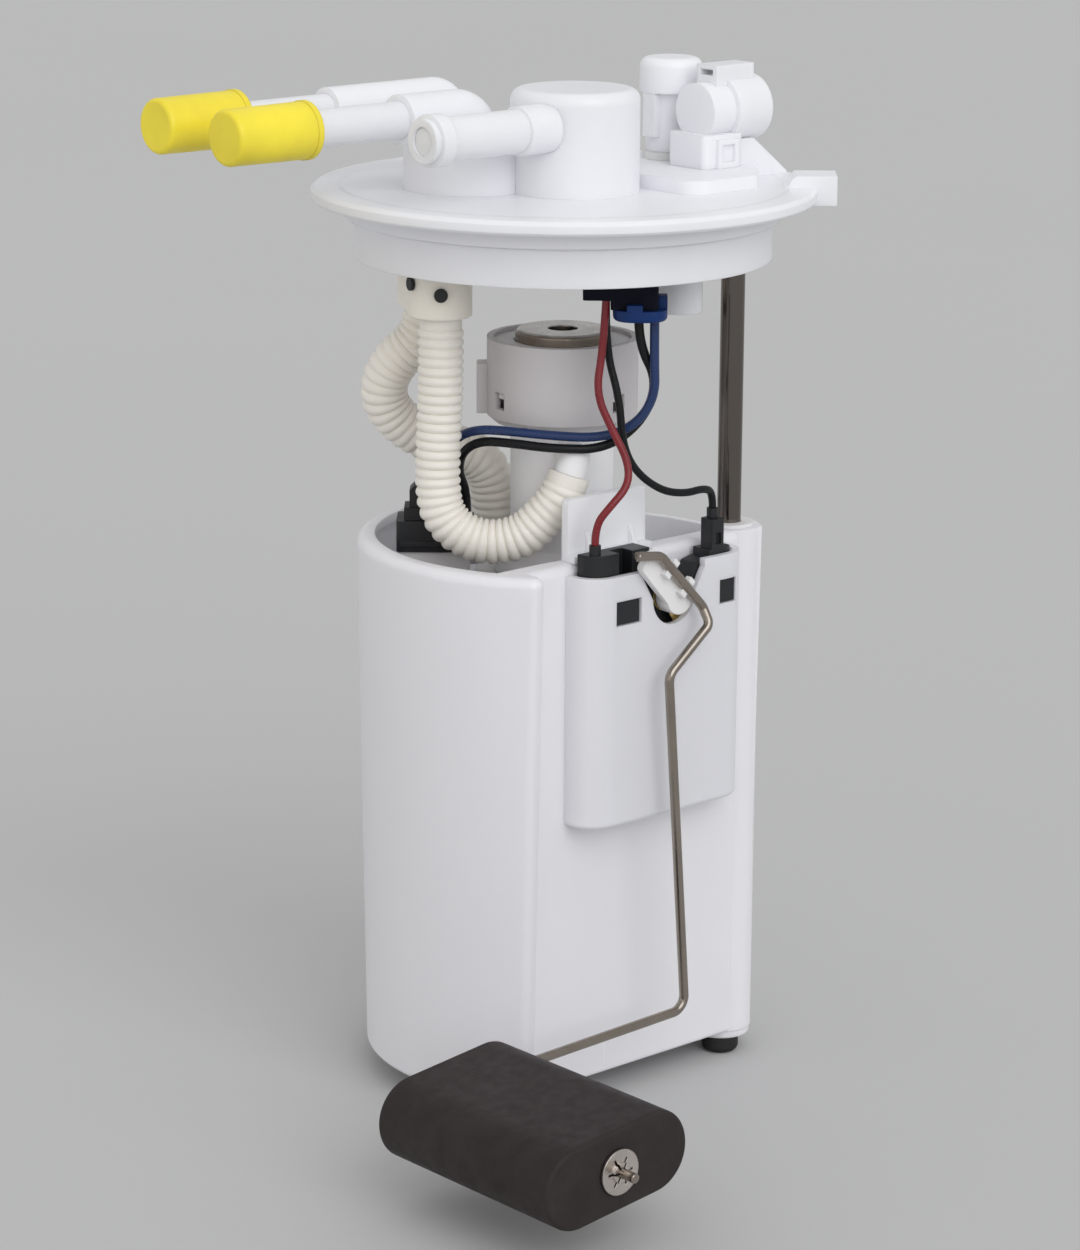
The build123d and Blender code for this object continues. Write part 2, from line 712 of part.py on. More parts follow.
def splash_shield():
    """Upright wall on the can's front strip, in front of the regulator neck."""
    front = strip_y - shield_thickness - 1.0
    wall = block((shield_left, front, rim_z), (shield_right, front + shield_thickness, shield_top))
    wall = fillet(wall.edges().filter_by(Axis.Y), 1.2)
    foot = block((shield_left, front - 2.6, rim_z), (shield_right, front + shield_thickness, rim_z + 2.0))
    body = wall + foot
    for x in (shield_left + 6.0, shield_right - 6.0):
        gusset = make_face(Polyline((front, rim_z + 1.0), (front - 2.4, rim_z + 1.0), (front, rim_z + 7.0),
                                    close=True))
        body += extrude(Plane((x, 0, 0), x_dir=(0, 1, 0), z_dir=(1, 0, 0)) * gusset, 1.4)
    return body


def guide_bush(x, y):
    """Slippery bush in a column's mouth, with a thin collar on the rim."""
    length = rim_z - (rod_end + 2.0 + ring_thickness + 0.4)
    bush = ring(column_bore - press_gap, rod_radius + running_gap, rim_z - length, rim_z, x, y)
    return bush + ring(column_bore + 1.2, rod_radius + running_gap, rim_z, rim_z + 1.0, x, y)


def guide_bushes():
    """Both bushes."""
    return Compound(children=[guide_bush(x, y) for x, y in rod_seats])


def guide_springs():
    """Springs under the rod ends that push the reservoir to the tank floor."""
    floor = base_z + can_wall + 0.1
    coils = [coil_spring(4.1, 1.0, floor, rod_end - 0.1, 9, x, y) for x, y in rod_seats]
    return Compound(children=coils)


def rubber_feet():
    """Feet under the guide columns, with a stem each."""
    feet = []
    for x, y in rod_seats:
        top = base_z - foot_boss
        foot = disc(foot_radius, top - foot_height, top, x + foot_shift[0], y + foot_shift[1])
        foot = fillet(foot.edges().sort_by(Axis.Z)[0], 1.6)
        foot += disc(foot_stem_radius, top, base_z - 0.6, x + foot_shift[0], y + foot_shift[1])
        feet.append(foot)
    return Compound(children=feet)


def inlet_valve():
    """Rubber umbrella that lets fuel in through the floor and not out."""
    floor = base_z + can_wall
    return turned([(0, base_z - 0.6), (2.2, base_z - 0.6), (2.2, base_z - 0.05), (1.5, base_z - 0.05),
                   (1.5, floor + 0.05), (6.6, floor + 0.05), (6.6, floor + 0.6),
                   (2.4, floor + 1.6), (0, floor + 1.6)])


def regulator_housing():
    """Neck from the pump with the regulator cup on top and the feed nozzle at its front."""
    taper = cup_floor_z - 2.2
    foot = pump_radius - 1.4
    body = turned([(0, neck_foot_z), (foot, neck_foot_z), (foot, neck_foot_z + 2.6),
                   (neck_radius, neck_foot_z + 7.0), (neck_radius, taper),
                   (cup_radius - 2.0, cup_floor_z - 0.6), (cup_radius, cup_floor_z + 1.2),
                   (cup_radius, cup_rim_z), (cup_radius - cup_wall, cup_rim_z),
                   (cup_radius - cup_wall, cup_floor_z + cup_wall), (0, cup_floor_z + cup_wall)])
    for angle in cup_window_angles:
        window = block((cup_radius - cup_wall - 1, -2.2, cup_floor_z + 4.0),
                       (cup_radius + 1, 2.2, cup_floor_z + 8.4))
        body -= Rot(0, 0, angle) * window
    lug = block((-cup_radius - 2.6, -3.0, cup_floor_z + 1.4),
                (-cup_radius + 0.6, 3.0, cup_rim_z - lug_drop))
    lug = fillet(lug.edges().filter_by(Axis.Z).sort_by(Axis.X)[:2], 1.0)
    body += Rot(0, 0, service_angle) * lug
    body += feed_nozzle()
    body -= disc(neck_bore, neck_foot_z, cup_floor_z + cup_wall)
    return body


def nozzle_route():
    """Hose end, elbow corner and neck end of the feed nozzle, in service axes."""
    hose_end = feed_route[-1]
    slope = [b - a for a, b in zip(feed_route[-2], hose_end)]
    corner = [value + nozzle_share * step for value, step in zip(hose_end, slope)]
    return [hose_end, corner, (0.0, 0.0, corner[2])]


def feed_nozzle():
    """Short elbow between the feed hose and the neck."""
    start, corner, end = served(nozzle_route())
    leg = bar(start, corner - start, nozzle_radius, (corner - start).length)
    knee = Pos(corner.X, corner.Y, corner.Z) * Sphere(nozzle_radius)
    return leg + knee + bar(corner, end - corner, nozzle_radius, (end - corner).length)


def regulator_retainer():
    """Ring that snaps into the cup's windows and holds the regulator down."""
    top = regulator_lip_z - press_gap
    inside = cup_radius - cup_wall - press_gap
    body = ring(inside, regulator_radius - 1.2, top - 2.4, top)
    for angle in cup_window_angles:
        tab = block((inside - 2.2, -1.8, cup_floor_z + 6.4), (inside - 0.2, 1.8, top - 2.0))
        hook = block((inside - 0.6, -1.8, cup_floor_z + 6.6), (inside + 0.7, 1.8, cup_floor_z + 8.0))
        body += Rot(0, 0, angle) * (tab + hook)
    return body


def pressure_regulator():
    """Crimped steel regulator: lid with a spring port, rolled lip and lower can."""
    lip_z = regulator_lip_z
    body = turned([(regulator_port, regulator_top), (regulator_radius - 0.8, regulator_top),
                   (regulator_radius, regulator_top - 0.8), (regulator_radius, lip_z),
                   (regulator_radius - 1.8, lip_z), (regulator_radius - 1.8, cup_floor_z + 4.6),
                   (6.4, cup_floor_z + 3.0), (6.4, cup_floor_z + cup_wall + 0.1),
                   (3.2, cup_floor_z + cup_wall + 0.1),
                   (3.2, cup_floor_z + 5.0), (regulator_port, cup_floor_z + 6.0)])
    return body


def regulator_seal():
    """O-ring round the regulator's lower can."""
    return Pos(0, 0, cup_floor_z + 6.4) * Torus(regulator_radius - 1.8 + 1.25, 1.2)


def pump_can():
    """Rolled steel shell of the pump."""
    low, high = pump_bottom + end_cap_height, pump_top - end_cap_height
    body = ring(pump_radius, pump_radius - pump_can_wall, low, high)
    rims = [edge for edge in body.edges().filter_by(GeomType.CIRCLE)
            if abs(edge.radius - pump_radius) < 0.01]
    return chamfer(rims, 0.5)


def pump_outlet_cover():
    """Outlet end of the pump, with the upper bearing and the outlet port."""
    inner = pump_radius - pump_can_wall - press_gap
    step, low = pump_top - pump_shoulder, pump_top - end_cap_height
    body = turned([(shaft_radius + running_gap, low - 4.0), (inner, low - 4.0), (inner, low),
                   (pump_radius, low), (pump_radius, step), (neck_radius - 2.0, step),
                   (neck_radius - 2.0, pump_top), (shaft_radius + running_gap, pump_top)])
    for side in (-1, 1):
        post_x = side * (pump_radius - post_inset)
        body += disc(post_radius, pump_top - pump_shoulder, pump_top - soft_gap, post_x, 0)
    return body


def pump_inlet_cover():
    """Inlet end of the pump with the impeller chamber."""
    low = pump_bottom
    chamber = pump_bottom + 4.0
    inner = pump_radius - pump_can_wall - press_gap
    top = pump_bottom + end_cap_height
    body = turned([(shaft_radius + running_gap, low), (pump_radius, low), (pump_radius, top), (inner, top),
                   (inner, top + 4.0), (impeller_radius + 0.4, top + 4.0), (impeller_radius + 0.4, chamber),
                   (shaft_radius + running_gap, chamber)])
    return body - disc(3.0, low, chamber, 10.0, 0)


def pump_magnets():
    """Two arc magnets stuck inside the can."""
    outer = pump_radius - pump_can_wall - press_gap
    sleeve = ring(outer, outer - magnet_wall, pump_bottom + 24.0, pump_top - 24.0)
    gap = block((-5.0, -pump_radius, pump_bottom), (5.0, pump_radius, pump_top))
    return Compound(children=list((sleeve - gap).solids()))


def pump_armature():
    """Wound rotor, commutator and shaft."""
    radius = pump_radius - pump_can_wall - press_gap - magnet_wall - magnet_gap
    body = disc(shaft_radius, pump_bottom + 1.0, pump_top - 6.0)
    stack = disc(radius, pump_bottom + 28.0, pump_top - 34.0)
    for index in range(8):
        slot = block((radius - 4.0, -0.9, pump_bottom), (radius + 1, 0.9, pump_top))
        stack -= Rot(0, 0, 45.0 * index) * slot
    body += stack
    body += disc(8.0, pump_top - 34.0, pump_top - 22.0)
    return body


def pump_impeller():
    """Turbine impeller with a ring of blades."""
    low = pump_bottom + 4.0 + 0.2
    body = ring(impeller_radius, shaft_radius + press_gap, low, low + impeller_thickness)
    for index in range(impeller_blades):
        pocket = block((impeller_radius - 2.6, -1.1, low),
                       (impeller_radius - 0.8, 1.1, low + impeller_thickness))
        body -= Rot(0, 0, 360.0 / impeller_blades * index) * pocket
    return body


def pump_isolator():
    """Rubber sleeve between the pump's foot and the can's ribs."""
    inner = pump_radius + press_gap
    low = pump_bottom - 3.0
    body = ring(inner + isolator_wall - press_gap, inner, pump_bottom, low + isolator_height)
    body += ring(inner + isolator_wall - press_gap, pump_radius - 4.0, low, pump_bottom - press_gap)
    body += ring(inner + isolator_wall - press_gap, inner, pump_bottom - press_gap, pump_bottom)
    for angle in range(0, 360, 60):
        leg = block((pump_radius - 3.4, -2.0, base_z + can_wall),
                    (inner + isolator_wall - press_gap, 2.0, low))
        body += Rot(0, 0, angle) * leg
    return body


def inlet_strainer():
    """Mesh pad under the pump inlet."""
    low = base_z + can_wall + 2.2
    length, width = 2 * (pump_radius - strainer_inset), 2 * (pump_radius - 1.5 * strainer_inset)
    pad = Pos(0, 0, low) * extrude(RectangleRounded(length, width, 4.0), strainer_thickness)
    pad = fillet(pad.faces().sort_by(Axis.Z)[-1].edges(), 1.4)
    stub = disc(2.9, low + strainer_thickness, pump_bottom + 3.0, 10.0, 0)
    return pad + stub


def pump_cradle():
    """Ring round the pump's top with arms to the can, one carrying the connector shelf."""
    inner = pump_radius + soft_gap
    shoulder = pump_top - pump_shoulder
    body = ring(inner + cradle_ring, inner, cradle_bottom, pump_top - soft_gap)
    body += ring(inner + cradle_ring, pump_radius - 3.0, shoulder + soft_gap, pump_top - soft_gap)
    wall = wall_radius(cradle_bottom) - can_wall
    for angle in cradle_angles:
        reach = wall - soft_gap
        if angle == cradle_angles[-1]:
            reach = -(flat_y + can_wall + soft_gap)
        arm = block((inner + 1.0, -cradle_arm_width / 2, cradle_bottom),
                    (reach, cradle_arm_width / 2, cradle_top))
        body += Rot(0, 0, angle) * arm
    (x0, y0), (x1, y1) = pump_connector_corners()
    shelf = block((x0 + 1.0, y0 + 1.0, cradle_bottom + 4.0), (x1 - 1.0, y1 - 1.0, pump_connector_base))
    body += service * shelf
    return body - pipe_run(jet_points(), jet_radius + soft_gap, jet_bend)


def pump_connector_corners():
    """Plan corners of the pump connector in service axes."""
    return (-43.0, -11.0), (-23.0, 1.0)


def pump_connector():
    """Black connector inside the can's mouth."""
    (x0, y0), (x1, y1) = pump_connector_corners()
    body = block((x0, y0, pump_connector_base), (x1, y1, pump_connector_top))
    body = fillet(body.edges().filter_by(Axis.Z), 1.2)
    tower = block((x0 + 3.4, y0 + 3.0, pump_connector_top), (x0 + 8.5, y1 - 3.0, pump_tower_top))
    body += chamfer(tower.edges().filter_by(Axis.Y).sort_by(Axis.Z)[-2:], 1.2)
    body += block((x0 + 2.0, y0 + 2.0, pump_connector_top), (x0 + 12.0, y1 - 2.0, pump_connector_top + 3.2))
    body += block((x0 + 1.0, y0 - 0.8, pump_connector_base + 1.5), (x1 - 1.0, y0, pump_connector_base + 3.0))
    return service * body


def jet_points():
    """Corners of the return tube, from the hose's end to the nozzle by the floor."""
    top = served([return_route[-1]])[0]
    knee = Vector(top.X, top.Y, 0).normalized().rotate(Axis.Z, 18.0) * jet_reach
    bend_z = return_end_z - jet_bend - 0.6
    return [(top.X, top.Y, return_end_z), (top.X, top.Y, bend_z), (knee.X, knee.Y, bend_z),
            (knee.X, knee.Y, base_z + can_wall + 1.4)]


def return_jet():
    """Return tube from the hose down to the jet nozzle near the floor."""
    points = jet_points()
    tube = pipe_run(points, jet_radius, jet_bend)
    tube += disc(return_hose_diameter / 2 - 0.6, return_end_z - 1.6, return_end_z, *points[0][:2])
    nozzle = turned([(0, 0), (2.0, 0), (4.6, 9.0), (4.6, 14.0), (0, 14.0)])
    return tube + Pos(*points[-1][:2], base_z + can_wall + 0.6) * nozzle


# ================================================================ level sender
def sensor_housing():
    """Black sender body in the pocket, with a terminal head on each side of the hub."""
    floor = pocket_bottom + pocket_wall + 3.0
    left = pocket_left + pocket_wall + 0.6
    right = pocket_right - pocket_wall - 0.6
    neck = notch_radius - soft_gap
    outline = make_face(Polyline((left, floor), (left, head_top), (head_right, head_top), (head_right, -91.5),
                                 (hub_x - neck - 0.6, hub_z + 2.0), (hub_x - neck, hub_z), (hub_x, hub_z - neck),
                                 (hub_x + neck, hub_z), (hub_x + neck + 3.4, hub_z + 6.5),
                                 (tower_left - 1.0, -91.0), (tower_left - 1.0, -89.2), (tower_right + 3.0, -89.2),
                                 (tower_right + 3.0, -91.2), (right, -91.2), (right, floor), close=True))
    body = across(outline, sender_front, sender_back)
    corners = [edge for edge in body.edges().filter_by(Axis.Z) if edge.center().Y < sender_front + 0.1
               and (edge.center().X < left + 0.1 or edge.center().X > right - 0.1)]
    body = fillet(corners, pocket_corner - pocket_wall - 0.4)
    body += across(Pos(hub_x, hub_z) * Circle(neck), sender_front, sender_back)
    post = block((tower_left, sender_front, -92.0), (tower_right, sender_front + 4.6, tower_head))
    body += fillet(post.edges().filter_by(Axis.Z), 0.5)
    bore = Circle(journal_radius + running_gap)
    body -= across(Pos(hub_x, hub_z) * bore, sender_front - 1, sender_back + 1)
    sweep_zone = Pos(hub_x, hub_z) * Circle(recess_radius)
    sweep_zone &= Pos(hub_x, hub_z - 27.0) * Rectangle(46.0, 50.0)
    sweep_zone += Pos(hub_x, hub_z) * Circle(hub_radius + 0.6)
    body -= across(sweep_zone, sender_front - 1, sender_front + card_recess)
    body -= block((terminal_gap[0], sender_front - 1, -92.4),
                  (terminal_gap[1], sender_front + 4.0, head_top + 1))
    body -= block((tower_left + 1.2, sender_front - 1, -88.0),
                  (tower_right - 1.2, sender_front + 0.8, -85.0))
    body += latch_tabs()
    return body


def latch_tabs():
    """Snap tabs that show in the pocket's windows."""
    tabs = None
    for left, right in windows:
        tab = block((left + soft_gap, pocket_y + 0.7, window_bottom + soft_gap),
                    (right - soft_gap, sender_front, window_top - soft_gap))
        tabs = tab if tabs is None else tabs + tab
    return tabs


def resistor_card():
    """Ceramic card at the bottom of the sender's recess."""
    back = sender_front + card_recess
    card = block((hub_x - 15.0, back - card_thickness, hub_z - 21.0), (hub_x + 15.0, back, hub_z - 10.0))
    return chamfer(card.edges().filter_by(Axis.Y), 1.0)


def sensor_terminals():
    """Crimped terminal on top of each head, where a wire ends."""
    pins = []
    for (x, y), top in ((red_terminal, head_top), (black_terminal, tower_head)):
        pin = disc(sender_wire_diameter / 2 + 0.5, top, top + crimp_height, x, y)
        pins.append(pin)
    return Compound(children=pins)


def sensor_rotor():
    """Hub with the tail and the clips that hold the float arm."""
    y0, y1 = rotor_front, pocket_y - soft_gap
    hub = across(Pos(hub_x, hub_z) * Circle(hub_radius), y0, sender_front - soft_gap)
    hub += across(Pos(hub_x, hub_z) * Circle(journal_radius), sender_front - soft_gap, sender_back)
    tail = Vector(hook_x - hub_x, hook_z - hub_z)
    side = tail.normalized().rotate(Axis.Z, 90.0)
    tip = tail * rotor_share
    outline = make_face(Polyline((hub_x + side.X * rotor_root, hub_z + side.Y * rotor_root),
                                 (hub_x + tip.X + side.X * rotor_tip, hub_z + tip.Y + side.Y * rotor_tip),
                                 (hub_x + tip.X - side.X * rotor_tip, hub_z + tip.Y - side.Y * rotor_tip),
                                 (hub_x - side.X * rotor_root, hub_z - side.Y * rotor_root), close=True))
    plate = across(outline, y0, y1)
    plate = fillet(plate.edges().filter_by(Axis.Y), 1.6)
    body = hub + plate
    tip_end, bend, elbow = arm_points()[:3]
    run = elbow - bend
    for share in jaw_places:
        x, z = bend.X + run.X * share, bend.Z + run.Z * share
        jaw = Pos(x, z) * Rot(0, 0, degrees(atan2(run.Z, run.X))) * Rectangle(jaw_width, jaw_span)
        body += across(jaw, y0 - jaw_height, y0)
    clear = wire_radius + press_gap
    for low, high in ((tip_end, bend), (bend, elbow)):
        body -= bar(low, high - low, clear, (high - low).length)
        body -= Pos(high.X, high.Y, high.Z) * Sphere(clear)
    return body


def arm_points():
    """Corners of the bent float wire from its hook to its end beyond the float."""
    return [Vector(hook_x - 4.2, clip_y, hook_z + 0.8), Vector(hook_x + 4.2, clip_y, hook_z - 0.3),
            Vector(elbow_x - 1.0, clip_y, elbow_z + 1.8), Vector(elbow_x - 0.4, wire_plane, elbow_z - 2.6),
            Vector(-4.0, wire_plane, -117.2), Vector(3.4, wire_plane, -209.4),
            Vector(float_x, wire_plane, float_z),
            Vector(float_x, float_front - nut_thickness - 5.6, float_z)]


def float_arm():
    """Bent spring-steel wire with a hooked end, one thickness all along."""
    points = arm_points()
    run = (points[1] - points[0]).normalized()
    path = FilletPolyline(*points, radius=[4.0, 2.6, 2.6, 4.0, 4.0, 2.8])
    wire = sweep(Plane(points[0], z_dir=run) * Circle(wire_radius), path=path)
    return fillet(wire.faces().filter_by(GeomType.PLANE).edges(), 0.4)


def contact_wiper():
    """Thin sprung strip with two fingers that ride on the card."""
    y0 = sender_front + 0.5
    strip = make_face(Polyline((hub_x - 2.0, hub_z - 4.0), (hub_x + 2.0, hub_z - 4.0),
                               (hub_x + 2.6, hub_z - 21.0), (hub_x - 2.6, hub_z - 21.0), close=True))
    strip -= Pos(hub_x, hub_z - 15.0) * Rectangle(1.0, 12.0)
    body = across(strip, y0, y0 + 0.4)
    washer = Circle(hub_radius) - Circle(journal_radius + press_gap)
    collar = across(Pos(hub_x, hub_z) * washer, y0, y0 + 0.4)
    return Pos(hub_x, 0, hub_z) * Rot(0, -35.0, 0) * Pos(-hub_x, 0, -hub_z) * (body + collar)


def float_block():
    """Nitrile float: rounded slab bored across for the arm."""
    outline = RectangleRounded(float_width, float_height, float_height / 2 - 0.1)
    body = Plane((0, 0, 0), x_dir=(1, 0, 0), z_dir=(0, -1, 0)) * outline
    body = extrude(body, float_back - float_front)
    body = fillet(body.faces().sort_by(Axis.Y)[0].edges() + body.faces().sort_by(Axis.Y)[-1].edges(), 1.2)
    body = Pos(float_x, float_back, float_z) * Rot(0, float_tilt, 0) * body
    return body - bar((float_x, float_back + 1, float_z), (0, -1, 0), wire_radius + running_gap,
                      float_back - float_front + 2)


def push_nut():
    """Toothed push-on nut that keeps the float on the wire."""
    y = float_front - soft_gap
    nut = bar((float_x, y, float_z), (0, -1, 0), nut_radius, nut_thickness)
    nut += bar((float_x, y - nut_thickness, float_z), (0, -1, 0), 2.6, 0.6)
    for angle in range(0, 360, 60):
        slit = block((1.0, -2, -0.3), (3.9, 2, 0.3))
        nut -= Pos(float_x, y, float_z) * Rot(0, angle, 0) * slit
    return nut - bar((float_x, y + 1, float_z), (0, -1, 0), wire_radius + press_gap, 5.0)


# ================================================================ hoses and wires
return_end_z = -92.0
feed_route = [(*feed_port, -adaptor_depth), (*feed_port, -48.0), (-32.3, -20.2, -73.0),
              (-29.4, -20.5, -81.8), (-20.8, -21.0, -86.6), (-10.4, -21.4, -85.2),
              (-3.8, -21.6, -78.6), (0.4, -22.0, -73.4), (2.0, -21.2, -68.2)]
return_route = [(*return_port, -adaptor_depth), (*return_port, -35.6), (-45.4, 2.5, -44.5),
                (-47.4, 4.5, -54.5), (-40.5, 7.0, -62.8), (-30.0, 9.0, -67.0),
                (-20.5, 11.0, -71.4), (-17.6, 12.6, -81.0), (-17.6, 12.6, return_end_z)]
blue_route = [(23.2, -27.0, lock_low), (23.2, -27.0, -36.5), (23.6, -26.8, -47.0), (18.0, -26.2, -54.8),
              (9.0, -25.2, -57.8), (-3.0, -24.2, -57.4), (-14.0, -21.8, -56.8), (-22.0, -17.0, -57.4),
              (-27.6, -11.8, -60.8), (-30.2, -9.0, -67.0), (-30.0, -7.6, -73.4), (-28.0, -6.6, -78.4),
              (-28.0, -6.6, pump_connector_top)]
black_route = [(19.2, -27.0, lock_low), (19.2, -27.0, -33.0), (24.4, -23.2, -43.5), (20.4, -23.0, -54.0),
               (11.0, -24.6, -60.8), (-2.0, -25.4, -60.6), (-13.0, -22.6, -59.8), (-21.0, -16.8, -60.4),
               (-25.8, -11.6, -64.4), (-27.0, -7.8, -70.6), (-24.8, -4.0, -76.6),
               (-24.8, -4.0, pump_connector_top)]
red_terminal = (-20.0, -35.0)
black_terminal = (21.2, -35.0)
red_wire_route = [(-12.8, -30.4, -21.0), (-12.8, -30.4, -33.5), (-15.2, -31.0, -44.5),
                  (-12.6, -34.0, -54.0), (-10.2, -37.4, -61.6), (-11.4, -38.4, -67.6),
                  (-17.6, -36.4, -72.6), (*red_terminal, -77.2),
                  (*red_terminal, head_top + crimp_height)]
black_wire_route = [(-10.8, -28.2, -21.0), (-10.8, -28.2, -34.0), (-10.3, -30.3, -47.0),
                    (-8.9, -32.4, -58.4), (-4.6, -33.2, -66.0), (2.6, -35.2, -71.6),
                    (10.0, -36.4, -73.2), (16.8, -36.2, -72.8), (*black_terminal, -74.6),
                    (*black_terminal, tower_head + crimp_height)]


def write_all():
    """Build every piece and write it to its own file."""
    save("cover_flange", cover_flange())
    save("vent_valve_body", vent_valve_body())
    save("vent_valve_float", vent_valve_float())
    save("vent_valve_spring", vent_valve_spring())
    save("feed_pipe", fuel_pipe(feed_x, feed_y, well_top, feed_diameter, feed_shoulder))
    save("return_pipe", fuel_pipe(return_x, return_y, return_boss_top, return_diameter, return_shoulder))
    save("vapour_nipple", vapour_nipple())
    save("feed_cap", pipe_cap(feed_y, feed_diameter))
    save("return_cap", pipe_cap(return_y, return_diameter))
    save("pressure_sensor", pressure_sensor())
    save("sensor_grommet", sensor_grommet())
    save("harness_connector", harness_connector())
    save("harness_pins", harness_pins())
    save("tank_connector", tank_connector())
    save("connector_lock", connector_lock())
    save("hose_adaptor", hose_adaptor())
    save("adaptor_pins", adaptor_pins())
    save("guide_rod_right", guide_rod(*rod_seats[0]))
    save("guide_rod_rear", guide_rod(*rod_seats[1]))
    save("rod_rings", rod_rings())
    save("reservoir_can", reservoir_can())
    save("splash_shield", splash_shield())
    save("guide_bushes", guide_bushes())
    save("guide_springs", guide_springs())
    save("rubber_feet", rubber_feet())
    save("inlet_valve", inlet_valve())
    save("regulator_housing", regulator_housing())
    save("regulator_retainer", regulator_retainer())
    save("pressure_regulator", pressure_regulator())
    save("regulator_seal", regulator_seal())
    save("pump_can", pump_can())
    save("pump_outlet_cover", pump_outlet_cover())
    save("pump_inlet_cover", pump_inlet_cover())
    save("pump_magnets", pump_magnets())
    save("pump_armature", pump_armature())
    save("pump_impeller", pump_impeller())
    save("pump_isolator", pump_isolator())
    save("inlet_strainer", inlet_strainer())
    save("pump_cradle", pump_cradle())
    save("pump_connector", pump_connector())
    save("return_jet", return_jet())
    save("sensor_housing", sensor_housing())
    save("resistor_card", resistor_card())
    save("sensor_terminals", sensor_terminals())
    save("sensor_rotor", sensor_rotor())
    save("contact_wiper", contact_wiper())
    save("float_arm", float_arm())
    save("float_block", float_block())
    save("push_nut", push_nut())
    save("feed_hose", cord("feed_hose", served(feed_route), feed_hose_diameter))
    save("return_hose", cord("return_hose", served(return_route), return_hose_diameter))
    save("pump_wire_blue", cord("pump_wire_blue", served(blue_route), pump_wire_diameter))
    save("pump_wire_black", cord("pump_wire_black", served(black_route), pump_wire_diameter))
    save("sender_wire_red", cord("sender_wire_red", red_wire_route, sender_wire_diameter))
    save("sender_wire_black", cord("sender_wire_black", black_wire_route, sender_wire_diameter))


write_all()
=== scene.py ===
"""Fuel pump module: camera, lights, surfaces and the pieces that the CAD keeps plain.

The frame is the CAD's, in metres: origin on the cover's axis in the plane of the rim's underside,
+Z up, -Y out of the level sender's face. Names in capitals are in millimetres and degrees unless
they say otherwise. The hoses' and wires' routes are those of the CAD source, with a few points of
the sender's wires moved by up to 2 mm to follow the photograph.
"""

from math import cos, pi, radians, sin

import bpy
from mathutils import Matrix, Vector


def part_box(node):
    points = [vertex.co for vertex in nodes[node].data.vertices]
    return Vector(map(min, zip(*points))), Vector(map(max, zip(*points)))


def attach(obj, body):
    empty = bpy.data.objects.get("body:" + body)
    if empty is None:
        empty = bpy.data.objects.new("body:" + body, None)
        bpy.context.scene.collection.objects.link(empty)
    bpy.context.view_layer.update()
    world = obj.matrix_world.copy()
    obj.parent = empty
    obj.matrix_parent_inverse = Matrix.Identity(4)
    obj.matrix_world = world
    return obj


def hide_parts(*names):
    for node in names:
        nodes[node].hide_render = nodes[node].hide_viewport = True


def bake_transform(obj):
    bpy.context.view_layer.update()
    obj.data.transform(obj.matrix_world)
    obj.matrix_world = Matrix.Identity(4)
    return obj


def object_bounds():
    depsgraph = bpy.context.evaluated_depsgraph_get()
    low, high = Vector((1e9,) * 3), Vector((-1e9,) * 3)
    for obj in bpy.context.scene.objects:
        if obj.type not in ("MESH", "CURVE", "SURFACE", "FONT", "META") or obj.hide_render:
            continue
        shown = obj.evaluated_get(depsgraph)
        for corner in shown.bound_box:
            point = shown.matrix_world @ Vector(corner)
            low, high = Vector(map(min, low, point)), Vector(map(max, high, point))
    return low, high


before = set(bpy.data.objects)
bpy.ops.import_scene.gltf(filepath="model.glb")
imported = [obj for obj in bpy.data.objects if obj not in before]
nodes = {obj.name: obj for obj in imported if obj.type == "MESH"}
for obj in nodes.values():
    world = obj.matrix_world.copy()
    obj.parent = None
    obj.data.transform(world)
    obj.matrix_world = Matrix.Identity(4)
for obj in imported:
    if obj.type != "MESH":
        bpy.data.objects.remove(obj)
cad_low, cad_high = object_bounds()

MM = 0.001

# ---------------------------------------------------------------- camera of the photograph
IMAGE_WIDTH, IMAGE_HEIGHT = 1080, 1250     # pixels
FOCAL_PX = 3906.5
PRINCIPAL_PX = (560.6, 636.8)
SENSOR = 36.0
CAMERA_AZIMUTH = radians(-42.0)     # from -Y towards +X, as for the lamps
CAMERA_PITCH = 0.26068              # radians, looking down
CAMERA_ROLL = radians(0.4)
CAMERA_DISTANCE = 1.0               # metres from the cover's axis
CAMERA_HEIGHT = 0.1498              # metres

# ---------------------------------------------------------------- light
BACKGROUND = (0.468, 0.468, 0.468)
FLOOR_TONE = (0.525, 0.525, 0.525)
FLOOR_REACH = 8.0         # metres
FLOOR_DROP = 0.0001       # metres below the lowest point
SKY_LEVEL = 0.76
SKY_LOW = (0.86, 0.86, 0.86)
SKY_HIGH = (1.0, 1.0, 1.0)
SKY_SPAN = (0.30, 0.95)   # where the sky turns from low to high, 0 straight down and 1 straight up
KEY_LEVEL = 1.11
KEY_COLOUR = (0.97, 0.985, 1.0)
KEY_AZIMUTH, KEY_ELEVATION = -12, 32
KEY_SIZE = 50
FILL_LEVEL = 0.29         # low and from the left, so that it reaches under the cover
FILL_COLOUR = (1.0, 0.92, 0.87)
FILL_AZIMUTH, FILL_ELEVATION = -66, 2
FILL_SIZE = 60

